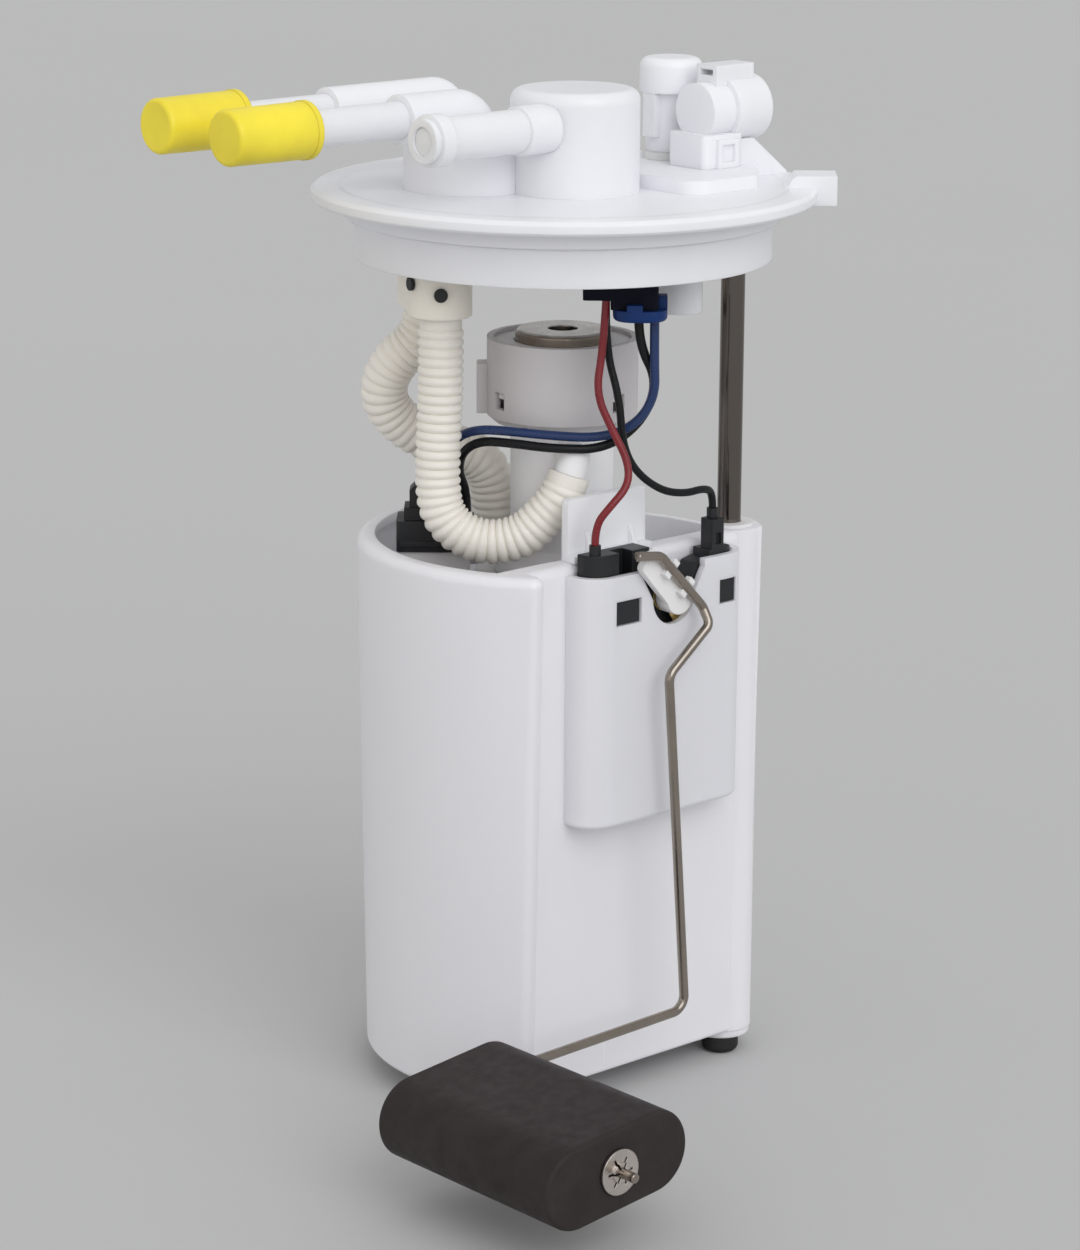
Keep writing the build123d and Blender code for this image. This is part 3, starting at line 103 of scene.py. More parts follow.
# ---------------------------------------------------------------- surfaces
EDGE_RADIUS = 0.00045     # metres, soft moulded edges in the shading
EDGE_SAMPLES = 6
CLOUD_SPAN = (0.30, 0.70)     # part of the noise over which colour and roughness change
PATCH_SCALE = 2.7         # roughness patches against colour clouds
WARM_SCATTER = (1.0, 0.95, 0.9)
COOL_SCATTER = (0.9, 0.95, 1.0)
REGULATOR_SIDE_SHADE = (0.52, 0.46, 0.40)     # painted shade on its side, darker and browner than the top
REGULATOR_SHADE_SPAN = (-0.2, -0.6)          # heights from its top between which the painted shade starts
CUP_SHADE_TOP, CUP_SHADE_FOOT = -56.0, -60.0     # heights between which the cup's painted shade starts
CUP_SHADE = (0.665, 0.64, 0.64)
POCKET_TONE_START, POCKET_TONE_END = -37.0, -39.5     # the sender's pocket stands in front of these
POCKET_TONE = (0.90, 0.91, 0.925)
RIM_STEP_RADIUS = 57.0    # shallow step round the cover's top
RIM_STEP_WIDTH = 1.2
RIM_STEP_DEPTH = 0.4

# ---------------------------------------------------------------- hoses and wires
SERVICE_ANGLE = radians(-42.0)     # turn of the axes that the hoses' and pump wires' routes are in
FEED_HOSE_DIAMETER = 11.8
RETURN_HOSE_DIAMETER = 12.4
RIB_PITCH = 2.4
RIB_DEPTH = 0.95
RIB_ROUNDNESS = 0.6       # below 1 the crests are broad and the grooves narrow
CUFF_LENGTH = 3.0
CUFF_INSET = 0.5          # of the ribs' depth
HOSE_STEP, HOSE_SIDES = 0.24, 40
WIRE_STEP, WIRE_SIDES = 0.8, 20
PATH_STEP = 1.0
SPLINE_POINTS = 24
PUMP_WIRE_DIAMETER = 2.4
SENDER_WIRE_DIAMETER = 2.0
ADAPTOR_DEPTH = -27.5
LOCK_LOW = -26.4
PUMP_CONNECTOR_TOP = -83.3
RETURN_END_Z = -92.0

FEED_ROUTE = [(-31.0, -20.0, ADAPTOR_DEPTH), (-31.0, -20.0, -48.0), (-32.3, -20.2, -73.0),
              (-29.4, -20.5, -81.8), (-20.8, -21.0, -86.6), (-10.4, -21.4, -85.2), (-3.8, -21.6, -78.6),
              (0.4, -22.0, -73.4), (2.0, -21.2, -68.2)]
RETURN_ROUTE = [(-35.0, 0.0, ADAPTOR_DEPTH), (-35.0, 0.0, -35.6), (-45.4, 2.5, -44.5), (-47.4, 4.5, -54.5),
                (-40.5, 7.0, -62.8), (-30.0, 9.0, -67.0), (-20.5, 11.0, -71.4), (-17.6, 12.6, -81.0),
                (-17.6, 12.6, RETURN_END_Z)]
BLUE_ROUTE = [(23.2, -27.0, LOCK_LOW), (23.2, -27.0, -36.5), (23.6, -26.8, -47.0), (18.0, -26.2, -54.8),
              (9.0, -25.2, -57.8), (-3.0, -24.2, -57.4), (-14.0, -21.8, -56.8), (-22.0, -17.0, -57.4),
              (-27.6, -11.8, -60.8), (-30.2, -9.0, -67.0), (-30.0, -7.6, -73.4), (-28.0, -6.6, -78.4),
              (-28.0, -6.6, PUMP_CONNECTOR_TOP)]
BLACK_ROUTE = [(19.2, -27.0, LOCK_LOW), (19.2, -27.0, -33.0), (24.4, -23.2, -43.5), (20.4, -23.0, -54.0),
               (11.0, -24.6, -60.8), (-2.0, -25.4, -60.6), (-13.0, -22.6, -59.8), (-21.0, -16.8, -60.4),
               (-25.8, -11.6, -64.4), (-27.0, -7.8, -70.6), (-24.8, -4.0, -76.6),
               (-24.8, -4.0, PUMP_CONNECTOR_TOP)]
RED_WIRE_ROUTE = [(-12.8, -30.4, -21.0), (-13.3, -30.0, -33.5), (-16.0, -30.3, -44.5),
                  (-13.1, -33.6, -54.0), (-10.7, -36.9, -61.6), (-11.6, -38.2, -67.6),
                  (-16.9, -37.1, -72.6), (-20.0, -35.0, -77.2), (-20.0, -35.0, -82.4)]
BLACK_WIRE_ROUTE = [(-10.8, -28.2, -21.0), (-10.8, -28.2, -34.0), (-8.9, -31.5, -46.5),
                    (-8.7, -32.6, -58.4), (-4.6, -33.2, -66.0), (2.6, -35.2, -71.6), (10.0, -36.4, -73.2),
                    (16.8, -36.2, -72.8), (21.2, -35.0, -74.6), (21.2, -35.0, -78.8)]

# Pieces that replace the CAD's plain cords, and the CAD node that each one hides.
CORD_NODES = {"feed_hose_ribbed": "feed_hose", "return_hose_ribbed": "return_hose",
              "blue_pump_wire": "pump_wire_blue", "black_pump_wire": "pump_wire_black",
              "red_sender_wire": "sender_wire_red", "black_sender_wire": "sender_wire_black"}

# ---------------------------------------------------------------- small pieces the CAD leaves out
SEAT_DROP = 0.9           # regulator's seat ring below the cup's rim
SEAT_DEPTH = 1.6
SEAT_CHAMFER = 0.3
SEAT_CLEARANCE = 0.15
CUP_INNER_RADIUS = 17.9
RING_STEPS = 120
NIPPLE_BORE = 7.0
WEB_DEPTH = 0.5           # closed end of the nipple, in from its rim
WEB_THICKNESS = 1.2
WEB_SHAPE = [(0, 0.86), (0.1, 0.97), (0.25, 1.0), (1, 1.0)]     # radius by depth, as shares of the web's
WEB_SIDES = 48

# ---------------------------------------------------------------- springs under the guide rods
SPRING_RADIUS = 4.1
SPRING_WIRE = 1.0
SPRING_TURNS = 22
TURN_POINTS = 20
SPRING_SIDES = 10


# ================================================================ camera and light
def set_camera():
    """Camera at the photograph's place, from its fitted direction and focal length."""
    right = Vector((cos(CAMERA_AZIMUTH), sin(CAMERA_AZIMUTH), 0))
    away = Vector((-sin(CAMERA_AZIMUTH), cos(CAMERA_AZIMUTH), 0))
    look = away * cos(CAMERA_PITCH) - Vector((0, 0, sin(CAMERA_PITCH)))
    up = right.cross(look)
    turn = Matrix((right, up, -look)).transposed() @ Matrix.Rotation(CAMERA_ROLL, 3, "Z")
    data = bpy.data.cameras.new("camera")
    data.sensor_fit = "VERTICAL"
    data.sensor_height = SENSOR
    data.lens = FOCAL_PX * SENSOR / IMAGE_HEIGHT
    data.shift_x = (IMAGE_WIDTH / 2 - PRINCIPAL_PX[0]) / IMAGE_HEIGHT
    data.shift_y = (PRINCIPAL_PX[1] - IMAGE_HEIGHT / 2) / IMAGE_HEIGHT
    camera = bpy.data.objects.new("camera", data)
    place = away * -CAMERA_DISTANCE + Vector((0, 0, CAMERA_HEIGHT))
    camera.matrix_world = Matrix.Translation(place) @ turn.to_4x4()
    bpy.context.collection.objects.link(camera)
    bpy.context.scene.camera = camera


def sun(name, azimuth, elevation, level, colour, size):
    """Distant soft lamp, its azimuth measured from -Y towards +X."""
    data = bpy.data.lights.new(name, "SUN")
    data.energy = level
    data.color = colour
    data.angle = radians(size)
    lamp = bpy.data.objects.new(name, data)
    lamp.rotation_euler = (radians(90 - elevation), 0, radians(azimuth))
    bpy.context.collection.objects.link(lamp)


def set_world():
    """Even studio light, a little brighter from above; rays that see it see a grey room."""
    world = bpy.data.worlds.new("studio")
    bpy.context.scene.world = world
    world.use_nodes = True
    net = world.node_tree
    net.nodes.clear()
    place = net.nodes.new("ShaderNodeTexCoord")
    split = net.nodes.new("ShaderNodeSeparateXYZ")
    net.links.new(place.outputs["Generated"], split.inputs[0])
    ramp = net.nodes.new("ShaderNodeValToRGB")
    for stop, position, tone in zip(ramp.color_ramp.elements, SKY_SPAN, (SKY_LOW, SKY_HIGH)):
        stop.position = position
        stop.color = (*tone, 1)
    shift = net.nodes.new("ShaderNodeMath")     # height from -1..1 to 0..1
    shift.operation = "MULTIPLY_ADD"
    shift.inputs[1].default_value = 0.5
    shift.inputs[2].default_value = 0.5
    net.links.new(split.outputs["Z"], shift.inputs[0])
    net.links.new(shift.outputs[0], ramp.inputs[0])
    light = net.nodes.new("ShaderNodeBackground")
    light.inputs["Strength"].default_value = SKY_LEVEL
    net.links.new(ramp.outputs[0], light.inputs["Color"])
    seen = net.nodes.new("ShaderNodeBackground")
    seen.inputs["Color"].default_value = (*BACKGROUND, 1)
    seen.inputs["Strength"].default_value = 1.0
    ray = net.nodes.new("ShaderNodeLightPath")
    plain = ray.outputs["Is Camera Ray"]
    for kind in ("Is Glossy Ray", "Is Transmission Ray"):
        either = net.nodes.new("ShaderNodeMath")
        either.operation = "MAXIMUM"
        net.links.new(plain, either.inputs[0])
        net.links.new(ray.outputs[kind], either.inputs[1])
        plain = either.outputs[0]
    mix = net.nodes.new("ShaderNodeMixShader")
    net.links.new(plain, mix.inputs[0])
    net.links.new(light.outputs[0], mix.inputs[1])
    net.links.new(seen.outputs[0], mix.inputs[2])
    out = net.nodes.new("ShaderNodeOutputWorld")
    net.links.new(mix.outputs[0], out.inputs[0])


def set_floor(material):
    """Large floor under the object's lowest point."""
    z = cad_low.z - FLOOR_DROP
    corners = [(x * FLOOR_REACH, y * FLOOR_REACH, z) for x, y in ((-1, -1), (1, -1), (1, 1), (-1, 1))]
    mesh = bpy.data.meshes.new("floor")
    mesh.from_pydata(corners, [], [(0, 1, 2, 3)])
    floor = bpy.data.objects.new("floor", mesh)
    floor.data.materials.append(material)
    bpy.context.collection.objects.link(floor)


# ================================================================ surfaces
class Surface:
    """Principled material with noise-driven colour, roughness and relief; noise scales are per metre."""

    def __init__(self, name, colour, roughness, metallic=0.0, shift=0.03, shift_scale=30.0,
                 stretch=(1, 1, 1)):
        self.material = bpy.data.materials.new(name)
        self.material.use_nodes = True
        self.net = self.material.node_tree
        self.shader = self.net.nodes["Principled BSDF"]
        self.shader.inputs["Metallic"].default_value = metallic
        self.place = self.net.nodes.new("ShaderNodeTexCoord").outputs["Object"]
        if stretch != (1, 1, 1):
            self.place = self.stretched(stretch)
        cloud = self.noise(shift_scale, 4.0)
        low = [max(0.0, c * (1 - shift)) for c in colour]
        high = [min(1.0, c * (1 + shift)) for c in colour]
        self.colour = self.ramp(cloud, *CLOUD_SPAN, (*low, 1), (*high, 1))
        self.net.links.new(self.colour, self.shader.inputs["Base Color"])
        patch = self.noise(shift_scale * PATCH_SCALE, 3.0)
        smooth, rough = ((value, value, value, 1) for value in roughness)
        self.net.links.new(self.ramp(patch, *CLOUD_SPAN, smooth, rough), self.shader.inputs["Roughness"])
        edge = self.net.nodes.new("ShaderNodeBevel")
        edge.samples = EDGE_SAMPLES
        edge.inputs["Radius"].default_value = EDGE_RADIUS
        self.normal = edge.outputs[0]

    def stretched(self, scale):
        """Coordinates scaled by axis, for drawn or brushed grain."""
        node = self.net.nodes.new("ShaderNodeMapping")
        node.inputs["Scale"].default_value = scale
        self.net.links.new(self.place, node.inputs["Vector"])
        return node.outputs[0]

    def noise(self, scale, detail):
        """Noise value from 0 to 1."""
        node = self.net.nodes.new("ShaderNodeTexNoise")
        node.inputs["Scale"].default_value = scale
        node.inputs["Detail"].default_value = detail
        self.net.links.new(self.place, node.inputs["Vector"])
        return node.outputs["Fac"]

    def cells(self, scale):
        """Distance to the nearest of scattered points."""
        node = self.net.nodes.new("ShaderNodeTexVoronoi")
        node.inputs["Scale"].default_value = scale
        self.net.links.new(self.place, node.inputs["Vector"])
        return node.outputs["Distance"]

    def ramp(self, value, start, end, low, high):
        """Colour from low to high as a value goes from start to end."""
        node = self.net.nodes.new("ShaderNodeValToRGB")
        node.color_ramp.elements[0].position = start
        node.color_ramp.elements[0].color = low
        node.color_ramp.elements[1].position = end
        node.color_ramp.elements[1].color = high
        self.net.links.new(value, node.inputs[0])
        return node.outputs[0]

    def radial(self):
        """Distance from the cover's axis, in metres."""
        flat = self.net.nodes.new("ShaderNodeVectorMath")
        flat.operation = "MULTIPLY"
        flat.inputs[1].default_value = (1, 1, 0)
        self.net.links.new(self.place, flat.inputs[0])
        node = self.net.nodes.new("ShaderNodeVectorMath")
        node.operation = "LENGTH"
        self.net.links.new(flat.outputs[0], node.inputs[0])
        return node.outputs["Value"]

    def along(self, axis):
        """One coordinate, in metres."""
        node = self.net.nodes.new("ShaderNodeSeparateXYZ")
        self.net.links.new(self.place, node.inputs[0])
        return node.outputs[axis]

    def toned(self, amount, tone):
        """Multiply the colour by a tone where the amount is 1."""
        blend = self.net.nodes.new("ShaderNodeMix")
        blend.data_type = "RGBA"
        blend.blend_type = "MULTIPLY"
        factor, first, second = (blend.inputs[socket] for socket in (0, 6, 7))     # those of RGBA
        result = blend.outputs[2]
        self.net.links.new(amount, factor)
        self.net.links.new(self.colour, first)
        second.default_value = (*tone, 1)
        self.colour = result
        self.net.links.new(self.colour, self.shader.inputs["Base Color"])

    def span(self, value, start, end):
        """0 before start, 1 past end."""
        node = self.net.nodes.new("ShaderNodeMapRange")
        node.inputs["From Min"].default_value = start
        node.inputs["From Max"].default_value = end
        self.net.links.new(value, node.inputs["Value"])
        return node.outputs[0]

    def relief(self, value, strength, depth):
        """Add a layer of bump, its depth in metres."""
        node = self.net.nodes.new("ShaderNodeBump")
        node.inputs["Strength"].default_value = strength
        node.inputs["Distance"].default_value = depth
        self.net.links.new(value, node.inputs["Height"])
        self.net.links.new(self.normal, node.inputs["Normal"])
        self.normal = node.outputs[0]
        self.net.links.new(self.normal, self.shader.inputs["Normal"])
        return self

    def set(self, **values):
        """Plain numbers on the shader's own sockets, by name with _ for a space."""
        for name, value in values.items():
            self.shader.inputs[name.replace("_", " ")].default_value = value
        return self

    def waves(self):
        """Faint moulded waviness."""
        return self.relief(self.noise(70.0, 2.0), strength=0.10, depth=0.0004)

    def satin(self):
        """Fine satin grain of a moulded skin."""
        return self.relief(self.noise(1500.0, 3.0), strength=0.06, depth=0.00005)

    def milky(self, weight, scatter=WARM_SCATTER, depth=0.006):
        """Light that enters the surface, its depth in metres."""
        return self.set(Subsurface_Weight=weight, Subsurface_Radius=scatter, Subsurface_Scale=depth)


def moulding(name, colour, rough=(0.30, 0.42), milky=0.0, shift=0.02, gloss=0.5):
    """Injection-moulded plastic with a faint satin grain and flow clouding."""
    surface = Surface(name, colour, rough, shift=shift, shift_scale=34.0)
    surface.waves().satin().set(Specular_IOR_Level=gloss)
    if milky:
        surface.milky(milky)
    return surface.material


def blow_moulding(name, colour):
    """Milky tank plastic with faint upright streaks, darker where the sender shows through."""
    surface = Surface(name, colour, (0.34, 0.48), shift=0.025, shift_scale=16.0, stretch=(1, 1, 0.35))
    pocket = surface.span(surface.along("Y"), POCKET_TONE_START * MM, POCKET_TONE_END * MM)
    surface.toned(pocket, POCKET_TONE)
    surface.relief(surface.noise(48.0, 2.0), strength=0.22, depth=0.0006)
    surface.relief(surface.noise(1200.0, 2.0), strength=0.05, depth=0.00005)
    surface.milky(0.35, COOL_SCATTER, 0.008)
    return surface.material


def steel_surface(name, colour, rough, stretch=(1, 1, 1)):
    """Bare metal with clouded colour."""
    return Surface(name, colour, rough, metallic=1.0, shift=0.10, shift_scale=90.0, stretch=stretch)


def ground(surface):
    """Add fine ground or drawn lines to a metal."""
    return surface.relief(surface.noise(2600.0, 2.0), strength=0.05, depth=0.00003)


def ground_steel(name, colour, rough, stretch=(1, 1, 1)):
    """Metal with fine lines, drawn out along an axis where its stretch is below 1."""
    return ground(steel_surface(name, colour, rough, stretch)).material


def regulator_steel(name, colour):
    """Regulator's steel, with painted shade on its side below the top."""
    surface = steel_surface(name, colour, (0.24, 0.36))
    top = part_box("pressure_regulator")[1].z
    start, end = (top + height * MM for height in REGULATOR_SHADE_SPAN)
    # painted shade: the side darker and browner than the top
    surface.toned(surface.span(surface.along("Z"), start, end), REGULATOR_SIDE_SHADE)
    return ground(surface).material


def cover_moulding(name, colour):
    """Cover plastic with a shallow turned step round the top of the rim."""
    surface = Surface(name, colour, (0.30, 0.42), shift=0.02, shift_scale=34.0)
    surface.waves().satin()
    start = RIM_STEP_RADIUS * MM
    step = surface.span(surface.radial(), start, start + RIM_STEP_WIDTH * MM)
    surface.relief(step, strength=1.0, depth=RIM_STEP_DEPTH * MM)
    surface.milky(0.25)
    return surface.material


def housing_moulding(name, colour):
    """Regulator housing, with painted shade that makes its thin cup darker than the neck below it."""
    surface = Surface(name, colour, (0.36, 0.50), shift=0.02, shift_scale=34.0)
    surface.waves()
    # painted shade on the cup
    surface.toned(surface.span(surface.along("Z"), CUP_SHADE_FOOT * MM, CUP_SHADE_TOP * MM), CUP_SHADE)
    surface.milky(0.15)
    return surface.material


def rubber(name, colour, rough=(0.55, 0.75)):
    """Matt rubber or soft vinyl with a fine uneven skin."""
    surface = Surface(name, colour, rough, shift=0.10, shift_scale=60.0)
    return surface.relief(surface.noise(900.0, 4.0), strength=0.20, depth=0.00008).material


def foam(name, colour):
    """Closed-cell float foam: fine pores and a faint sheen on the skin."""
    surface = Surface(name, colour, (0.50, 0.64), shift=0.16, shift_scale=120.0)
    surface.set(Specular_IOR_Level=0.25)
    surface.relief(surface.cells(1400.0), strength=0.22, depth=0.00012)
    surface.relief(surface.noise(260.0, 3.0), strength=0.12, depth=0.0002)
    return surface.material


def insulation(name, colour, gloss=0.5):
    """Glossy extruded wire covering."""
    surface = Surface(name, colour, (0.24, 0.36), shift=0.12, shift_scale=160.0)
    surface.set(Specular_IOR_Level=gloss)
    return surface.relief(surface.noise(700.0, 2.0), strength=0.10, depth=0.00005).material


def mesh_cloth(name, colour):
    """Woven strainer cloth."""
    surface = Surface(name, colour, (0.6, 0.8), shift=0.08, shift_scale=200.0)
    weave = surface.net.nodes.new("ShaderNodeTexChecker")
    weave.inputs["Scale"].default_value = 1800.0
    surface.net.links.new(surface.place, weave.inputs["Vector"])
    return surface.relief(weave.outputs["Fac"], strength=0.4, depth=0.0001).material


def floor_surface():
    """Matt grey studio floor."""
    surface = Surface("studio_floor", FLOOR_TONE, (0.9, 0.95), shift=0.004, shift_scale=2.0)
    return surface.set(Specular_IOR_Level=0.0).material


# ================================================================ tubes
def frame_route(route):
    """Route in metres from one in millimetres."""
    return [Vector(point) * MM for point in route]


def service_route(route):
    """Route in metres from one in millimetres in the turned axes: across, back, height."""
    turned = cos(SERVICE_ANGLE), sin(SERVICE_ANGLE)
    return frame_route([(across * turned[0] - back * turned[1], across * turned[1] + back * turned[0], height)
                        for across, back, height in route])


def spline_line(name, route):
    """Points along the route's NURBS spline."""
    curve = bpy.data.curves.new(name, "CURVE")
    curve.dimensions = "3D"
    curve.resolution_u = SPLINE_POINTS
    spline = curve.splines.new("NURBS")
    spline.points.add(len(route) - 1)
    for point, place in zip(spline.points, route):
        point.co = (*place, 1.0)
    spline.order_u = 3
    spline.use_endpoint_u = True
    holder = bpy.data.objects.new(name, curve)
    bpy.context.collection.objects.link(holder)
    mesh = bpy.data.meshes.new_from_object(holder)
    line = [vertex.co.copy() for vertex in mesh.vertices]
    bpy.data.objects.remove(holder)
    bpy.data.meshes.remove(mesh)
    bpy.data.curves.remove(curve)
    return line


def line_length(line):
    """Length of a polyline."""
    return sum((b - a).length for a, b in zip(line, line[1:]))


def even_line(line, step):
    """The same line with points about one step apart."""
    total = line_length(line)
    count = max(2, round(total / step))
    marks = [total * index / count for index in range(count + 1)]
    made, travelled, index = [], 0.0, 0
    for mark in marks:
        while index < len(line) - 2 and travelled + (line[index + 1] - line[index]).length < mark:
            travelled += (line[index + 1] - line[index]).length
            index += 1
        run = line[index + 1] - line[index]
        share = (mark - travelled) / run.length if run.length else 0.0
        made.append(line[index].lerp(line[index + 1], min(1.0, share)))
    return made


def mesh_piece(name, points, faces, crease):
    """Smooth-shaded object from a mesh, with edges sharp where they turn past a crease in degrees."""
    mesh = bpy.data.meshes.new(name)
    mesh.from_pydata([tuple(point) for point in points], [], faces)
    mesh.update()
    mesh.shade_smooth()
    mesh.set_sharp_from_angle(angle=radians(crease))
    piece = bpy.data.objects.new(name, mesh)
    bpy.context.collection.objects.link(piece)
    return piece


def tube(name, line, radius_at, sides):
    """Closed mesh tube along a line, its radius given by the distance from its start."""
    last = len(line) - 1
    ways = [(line[min(k + 1, last)] - line[max(k - 1, 0)]).normalized() for k in range(len(line))]
    side = ways[0].orthogonal().normalized()
    points, distance = [], 0.0
    for index, (place, way) in enumerate(zip(line, ways)):
        if index:
            distance += (place - line[index - 1]).length
        side = (side - way * side.dot(way)).normalized()
        other = way.cross(side)
        radius = radius_at(distance)
        for step in range(sides):
            angle = 2 * pi * step / sides
            points.append(place + (side * cos(angle) + other * sin(angle)) * radius)
    faces = []
    for ring in range(last):
        for step in range(sides):
            a = ring * sides + step
            b = ring * sides + (step + 1) % sides
            faces.append((a, b, b + sides, a + sides))
    faces.append(tuple(reversed(range(sides))))
    faces.append(tuple(range(last * sides, (last + 1) * sides)))
    return mesh_piece(name, points, faces, crease=60)


def ribbed(length, diameter):
    """Radius of a corrugated hose by distance, with a plain cuff at each end."""
    crest = diameter / 2 * MM
    cuff = CUFF_LENGTH * MM
    ribs = round((length - 2 * cuff) / (RIB_PITCH * MM))
    pitch = (length - 2 * cuff) / ribs

    def radius(distance):
        if distance < cuff or distance > length - cuff:
            return crest - CUFF_INSET * RIB_DEPTH * MM
        wave = abs(sin(pi * (distance - cuff) / pitch))
        return crest - RIB_DEPTH * MM * (1 - wave ** RIB_ROUNDNESS)

    return radius


def make_cord(name, route, diameter, material, stiffness):
    """Corrugated hose (stiff) or wire (limp) along its route from the cover down to the reservoir."""
    line = spline_line(name + "_route", route)
    length = line_length(line)
    if stiffness == "stiff":
        piece = tube(name, even_line(line, HOSE_STEP * MM), ribbed(length, diameter), HOSE_SIDES)
    else:
        piece = tube(name, even_line(line, WIRE_STEP * MM), lambda distance: diameter / 2 * MM, WIRE_SIDES)
    piece.data.materials.append(material)
    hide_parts(CORD_NODES[name])
    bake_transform(piece)
    even_line(line, PATH_STEP * MM)


def turned_ring(name, outline, material):
    """Ring turned about the cover's axis from a closed outline of (radius, height) in millimetres."""
    points, faces = [], []
    count = len(outline)
    for step in range(RING_STEPS):
        angle = 2 * pi * step / RING_STEPS
        points += [(radius * cos(angle) * MM, radius * sin(angle) * MM, height * MM)
                   for radius, height in outline]
        here, after = step * count, (step + 1) % RING_STEPS * count
        for index in range(count):
            side = (index + 1) % count
            faces.append((here + index, here + side, after + side, after + index))
    piece = mesh_piece(name, points, faces, crease=40)
    piece.data.materials.append(material)
    return piece


def make_regulator_seat(material):
    """Pale ring that closes the gap between the regulator and the wall of its cup."""
    low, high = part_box("pressure_regulator")
    inner = (high.x - low.x) / 2 / MM + SEAT_CLEARANCE
    outer = CUP_INNER_RADIUS - SEAT_CLEARANCE
    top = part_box("regulator_housing")[1].z / MM - SEAT_DROP
    base = top - SEAT_DEPTH
    outline = [(inner, base), (inner, top - SEAT_CHAMFER), (inner + SEAT_CHAMFER, top), (outer, top),
               (outer, base)]
    piece = turned_ring("regulator_seat", outline, material)
    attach(piece, "reservoir")


def make_nipple_web(material):
    """Closed end inside the nipple's mouth."""
    low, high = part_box("vapour_nipple")
    middle = (low + high) / 2
    start = low.x + WEB_DEPTH * MM
    thickness = WEB_THICKNESS * MM
    line = [Vector((start + thickness * depth, middle.y, middle.z)) for depth, width in WEB_SHAPE]

    def radius(distance):
        depth, width = min(WEB_SHAPE, key=lambda mark: abs(mark[0] * thickness - distance))
        return NIPPLE_BORE / 2 * MM * width

    piece = tube("nipple_web", line, radius, WEB_SIDES)
    piece.data.materials.append(material)
    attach(piece, "cover")


def make_spring(name, axis, material):
    """Coil spring round an axis, between its column's floor and its rod's end."""
    low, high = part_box("guide_springs")
    radius = SPRING_WIRE / 2 * MM
    bottom, top = low.z + radius, high.z - radius
    count = SPRING_TURNS * TURN_POINTS
    line = []
    for index in range(count + 1):
        angle = 2 * pi * index / TURN_POINTS
        across = Vector((cos(angle), sin(angle), 0)) * SPRING_RADIUS * MM
        line.append(Vector((axis.x, axis.y, bottom + (top - bottom) * index / count)) + across)
    piece = tube(name, line, lambda distance: radius, SPRING_SIDES)
    piece.data.materials.append(material)
    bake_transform(piece)
    return piece


# ================================================================ the object
def paint(materials):
    """Put each CAD node's material in its slots."""
    for material, names in materials:
        for name in names:
            slots = nodes[name].material_slots
            if not slots:
                nodes[name].data.materials.append(material)
            for slot in slots:
                slot.material = material


set_camera()
set_world()
sun("key", KEY_AZIMUTH, KEY_ELEVATION, KEY_LEVEL, KEY_COLOUR, KEY_SIZE)
sun("fill", FILL_AZIMUTH, FILL_ELEVATION, FILL_LEVEL, FILL_COLOUR, FILL_SIZE)
set_floor(floor_surface())

cover_white = cover_moulding("cover_white", (0.855, 0.86, 0.895))
pipe_white = moulding("pipe_white", (0.865, 0.87, 0.905), milky=0.35)
# whiter than the nipple's own plastic: painted light for light glowing through its closed end
web_white_painted_glow = moulding("web_white_painted_glow", (0.95, 0.95, 0.97), milky=0.35)
inner_white = moulding("inner_white", (0.83, 0.82, 0.82), rough=(0.36, 0.5), milky=0.15)
housing_white = housing_moulding("housing_white", (0.93, 0.93, 0.95))
seal_white = rubber("seal_white", (0.70, 0.70, 0.68))
tank_white = blow_moulding("tank_white", (0.845, 0.84, 0.885))
black_nylon = moulding("black_nylon", (0.010, 0.011, 0.013), rough=(0.38, 0.54), shift=0.2)
plug_nylon = moulding("plug_nylon", (0.008, 0.009, 0.018), rough=(0.5, 0.62), shift=0.2, gloss=0.08)
blue_nylon = moulding("blue_nylon", (0.002, 0.030, 0.150), rough=(0.34, 0.46), shift=0.1, gloss=0.3)
hose_ivory = moulding("hose_ivory", (0.88, 0.84, 0.77), rough=(0.34, 0.46), milky=0.35, shift=0.03)
# ivory lightened past the hose's as painted light, lifting the shade under the cover
adaptor_ivory_painted_light = moulding("adaptor_ivory_painted_light", (0.97, 0.91, 0.80), rough=(0.36, 0.5), milky=0.25, shift=0.03)
cap_yellow = rubber("cap_yellow", (0.93, 0.76, 0.045), rough=(0.34, 0.46))
black_rubber = rubber("black_rubber", (0.010, 0.010, 0.010))
float_brown = foam("float_brown", (0.030, 0.023, 0.023))
rod_steel = ground_steel("rod_steel", (0.17, 0.15, 0.135), (0.10, 0.20), (1, 1, 0.05))
wire_steel = ground_steel("wire_steel", (0.34, 0.30, 0.26), (0.16, 0.28))
plate_steel = ground_steel("plate_steel", (0.66, 0.60, 0.56), (0.22, 0.34))
dull_steel = regulator_steel("dull_steel", (0.72, 0.70, 0.67))
brass = ground_steel("brass", (0.78, 0.58, 0.26), (0.2, 0.3))
copper = ground_steel("copper", (0.60, 0.32, 0.18), (0.3, 0.45), (1, 1, 0.2))
ferrite = moulding("ferrite", (0.03, 0.03, 0.032), rough=(0.5, 0.7), shift=0.2)
ceramic = moulding("ceramic", (0.80, 0.79, 0.75), rough=(0.4, 0.6))
cloth = mesh_cloth("strainer_cloth", (0.78, 0.77, 0.70))
red_wire = insulation("red_wire", (0.20, 0.012, 0.018))
black_wire = insulation("black_wire", (0.008, 0.009, 0.010), gloss=0.25)
blue_wire = insulation("blue_wire", (0.012, 0.034, 0.120))

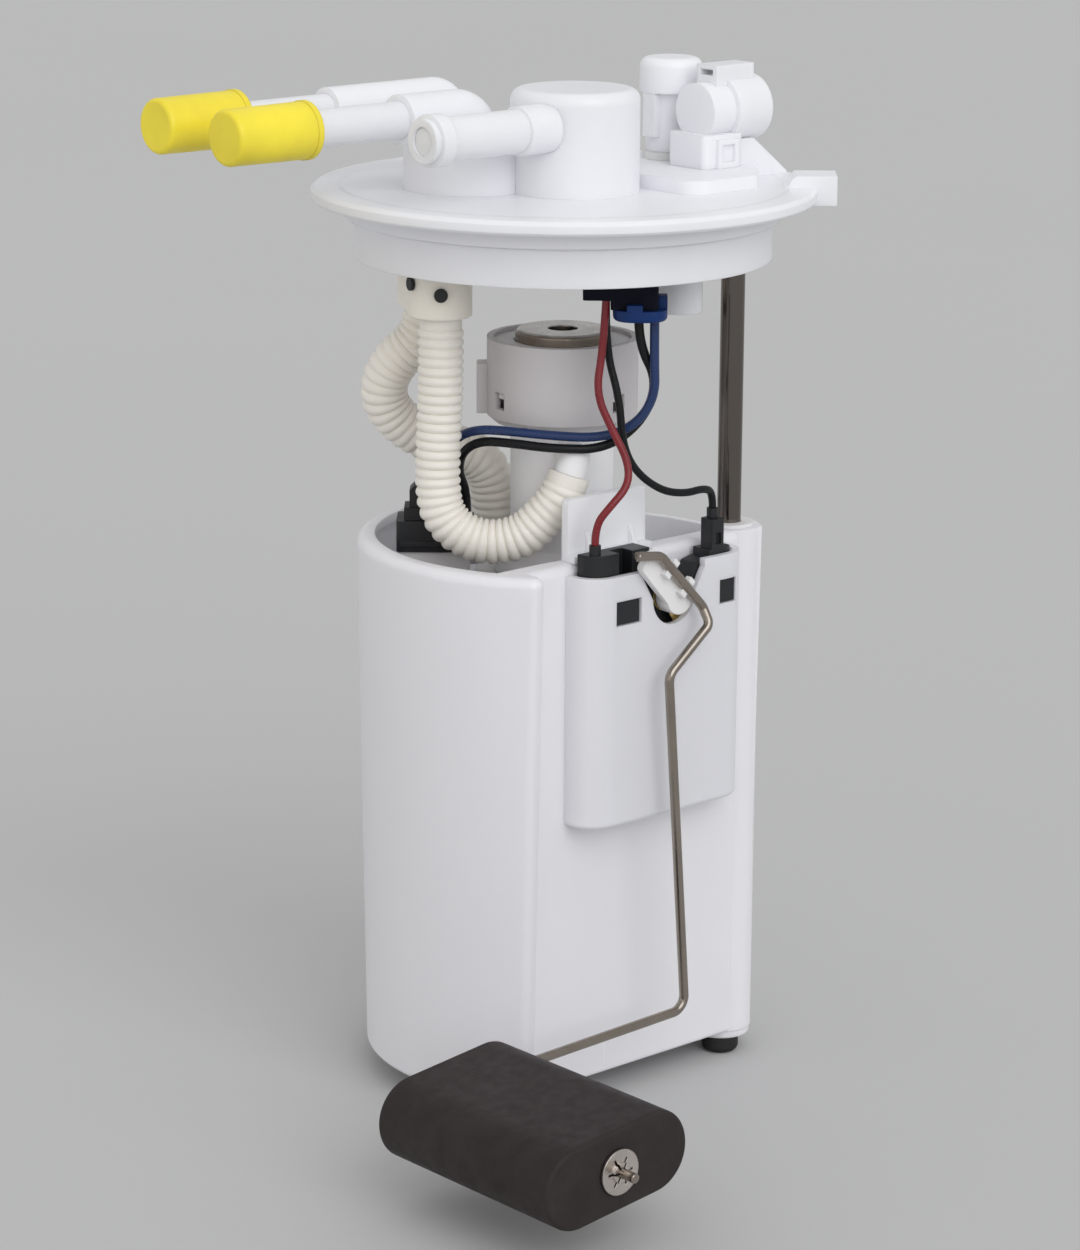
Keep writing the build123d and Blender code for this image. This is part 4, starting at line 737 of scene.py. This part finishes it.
paint([
    (cover_white, ["cover_flange", "harness_connector", "pressure_sensor"]),
    (pipe_white, ["feed_pipe", "return_pipe", "vapour_nipple", "splash_shield"]),
    (housing_white, ["regulator_housing"]),
    (inner_white, ["vent_valve_body", "vent_valve_float", "guide_bushes", "regulator_retainer",
                   "pump_cradle", "return_jet", "sensor_rotor"]),
    (tank_white, ["reservoir_can"]),
    (plug_nylon, ["tank_connector"]),
    (seal_white, ["sensor_grommet"]),
    (black_nylon, ["adaptor_pins", "pump_connector", "sensor_housing", "sensor_terminals",
                   "pump_outlet_cover", "pump_inlet_cover", "pump_impeller"]),
    (blue_nylon, ["connector_lock"]),
    (adaptor_ivory_painted_light, ["hose_adaptor"]),
    (cap_yellow, ["feed_cap", "return_cap"]),
    (black_rubber, ["rubber_feet", "inlet_valve", "regulator_seal", "pump_isolator"]),
    (float_brown, ["float_block"]),
    (rod_steel, ["guide_rod_right", "guide_rod_rear"]),
    (wire_steel, ["float_arm", "rod_rings", "vent_valve_spring", "guide_springs"]),
    (plate_steel, ["pump_can", "push_nut"]),
    (dull_steel, ["pressure_regulator"]),
    (brass, ["harness_pins", "contact_wiper"]),
    (copper, ["pump_armature"]),
    (ferrite, ["pump_magnets"]),
    (ceramic, ["resistor_card"]),
    (cloth, ["inlet_strainer"]),
])

make_cord("feed_hose_ribbed", service_route(FEED_ROUTE), FEED_HOSE_DIAMETER, hose_ivory,
          "stiff")
make_cord("return_hose_ribbed", service_route(RETURN_ROUTE), RETURN_HOSE_DIAMETER, hose_ivory,
          "stiff")
make_cord("blue_pump_wire", service_route(BLUE_ROUTE), PUMP_WIRE_DIAMETER, blue_wire, "limp")
make_cord("black_pump_wire", service_route(BLACK_ROUTE), PUMP_WIRE_DIAMETER, black_wire, "limp")
make_cord("red_sender_wire", frame_route(RED_WIRE_ROUTE), SENDER_WIRE_DIAMETER, red_wire, "limp")
make_cord("black_sender_wire", frame_route(BLACK_WIRE_ROUTE), SENDER_WIRE_DIAMETER, black_wire,
          "limp")

for rod, side in (("guide_rod_right", "right"), ("guide_rod_rear", "rear")):
    low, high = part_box(rod)
    spring = make_spring("column_spring_" + side, (low + high) / 2, wire_steel)
    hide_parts("guide_springs")

make_regulator_seat(inner_white)
make_nipple_web(web_white_painted_glow)

bpy.context.scene.view_settings.view_transform = "Standard"
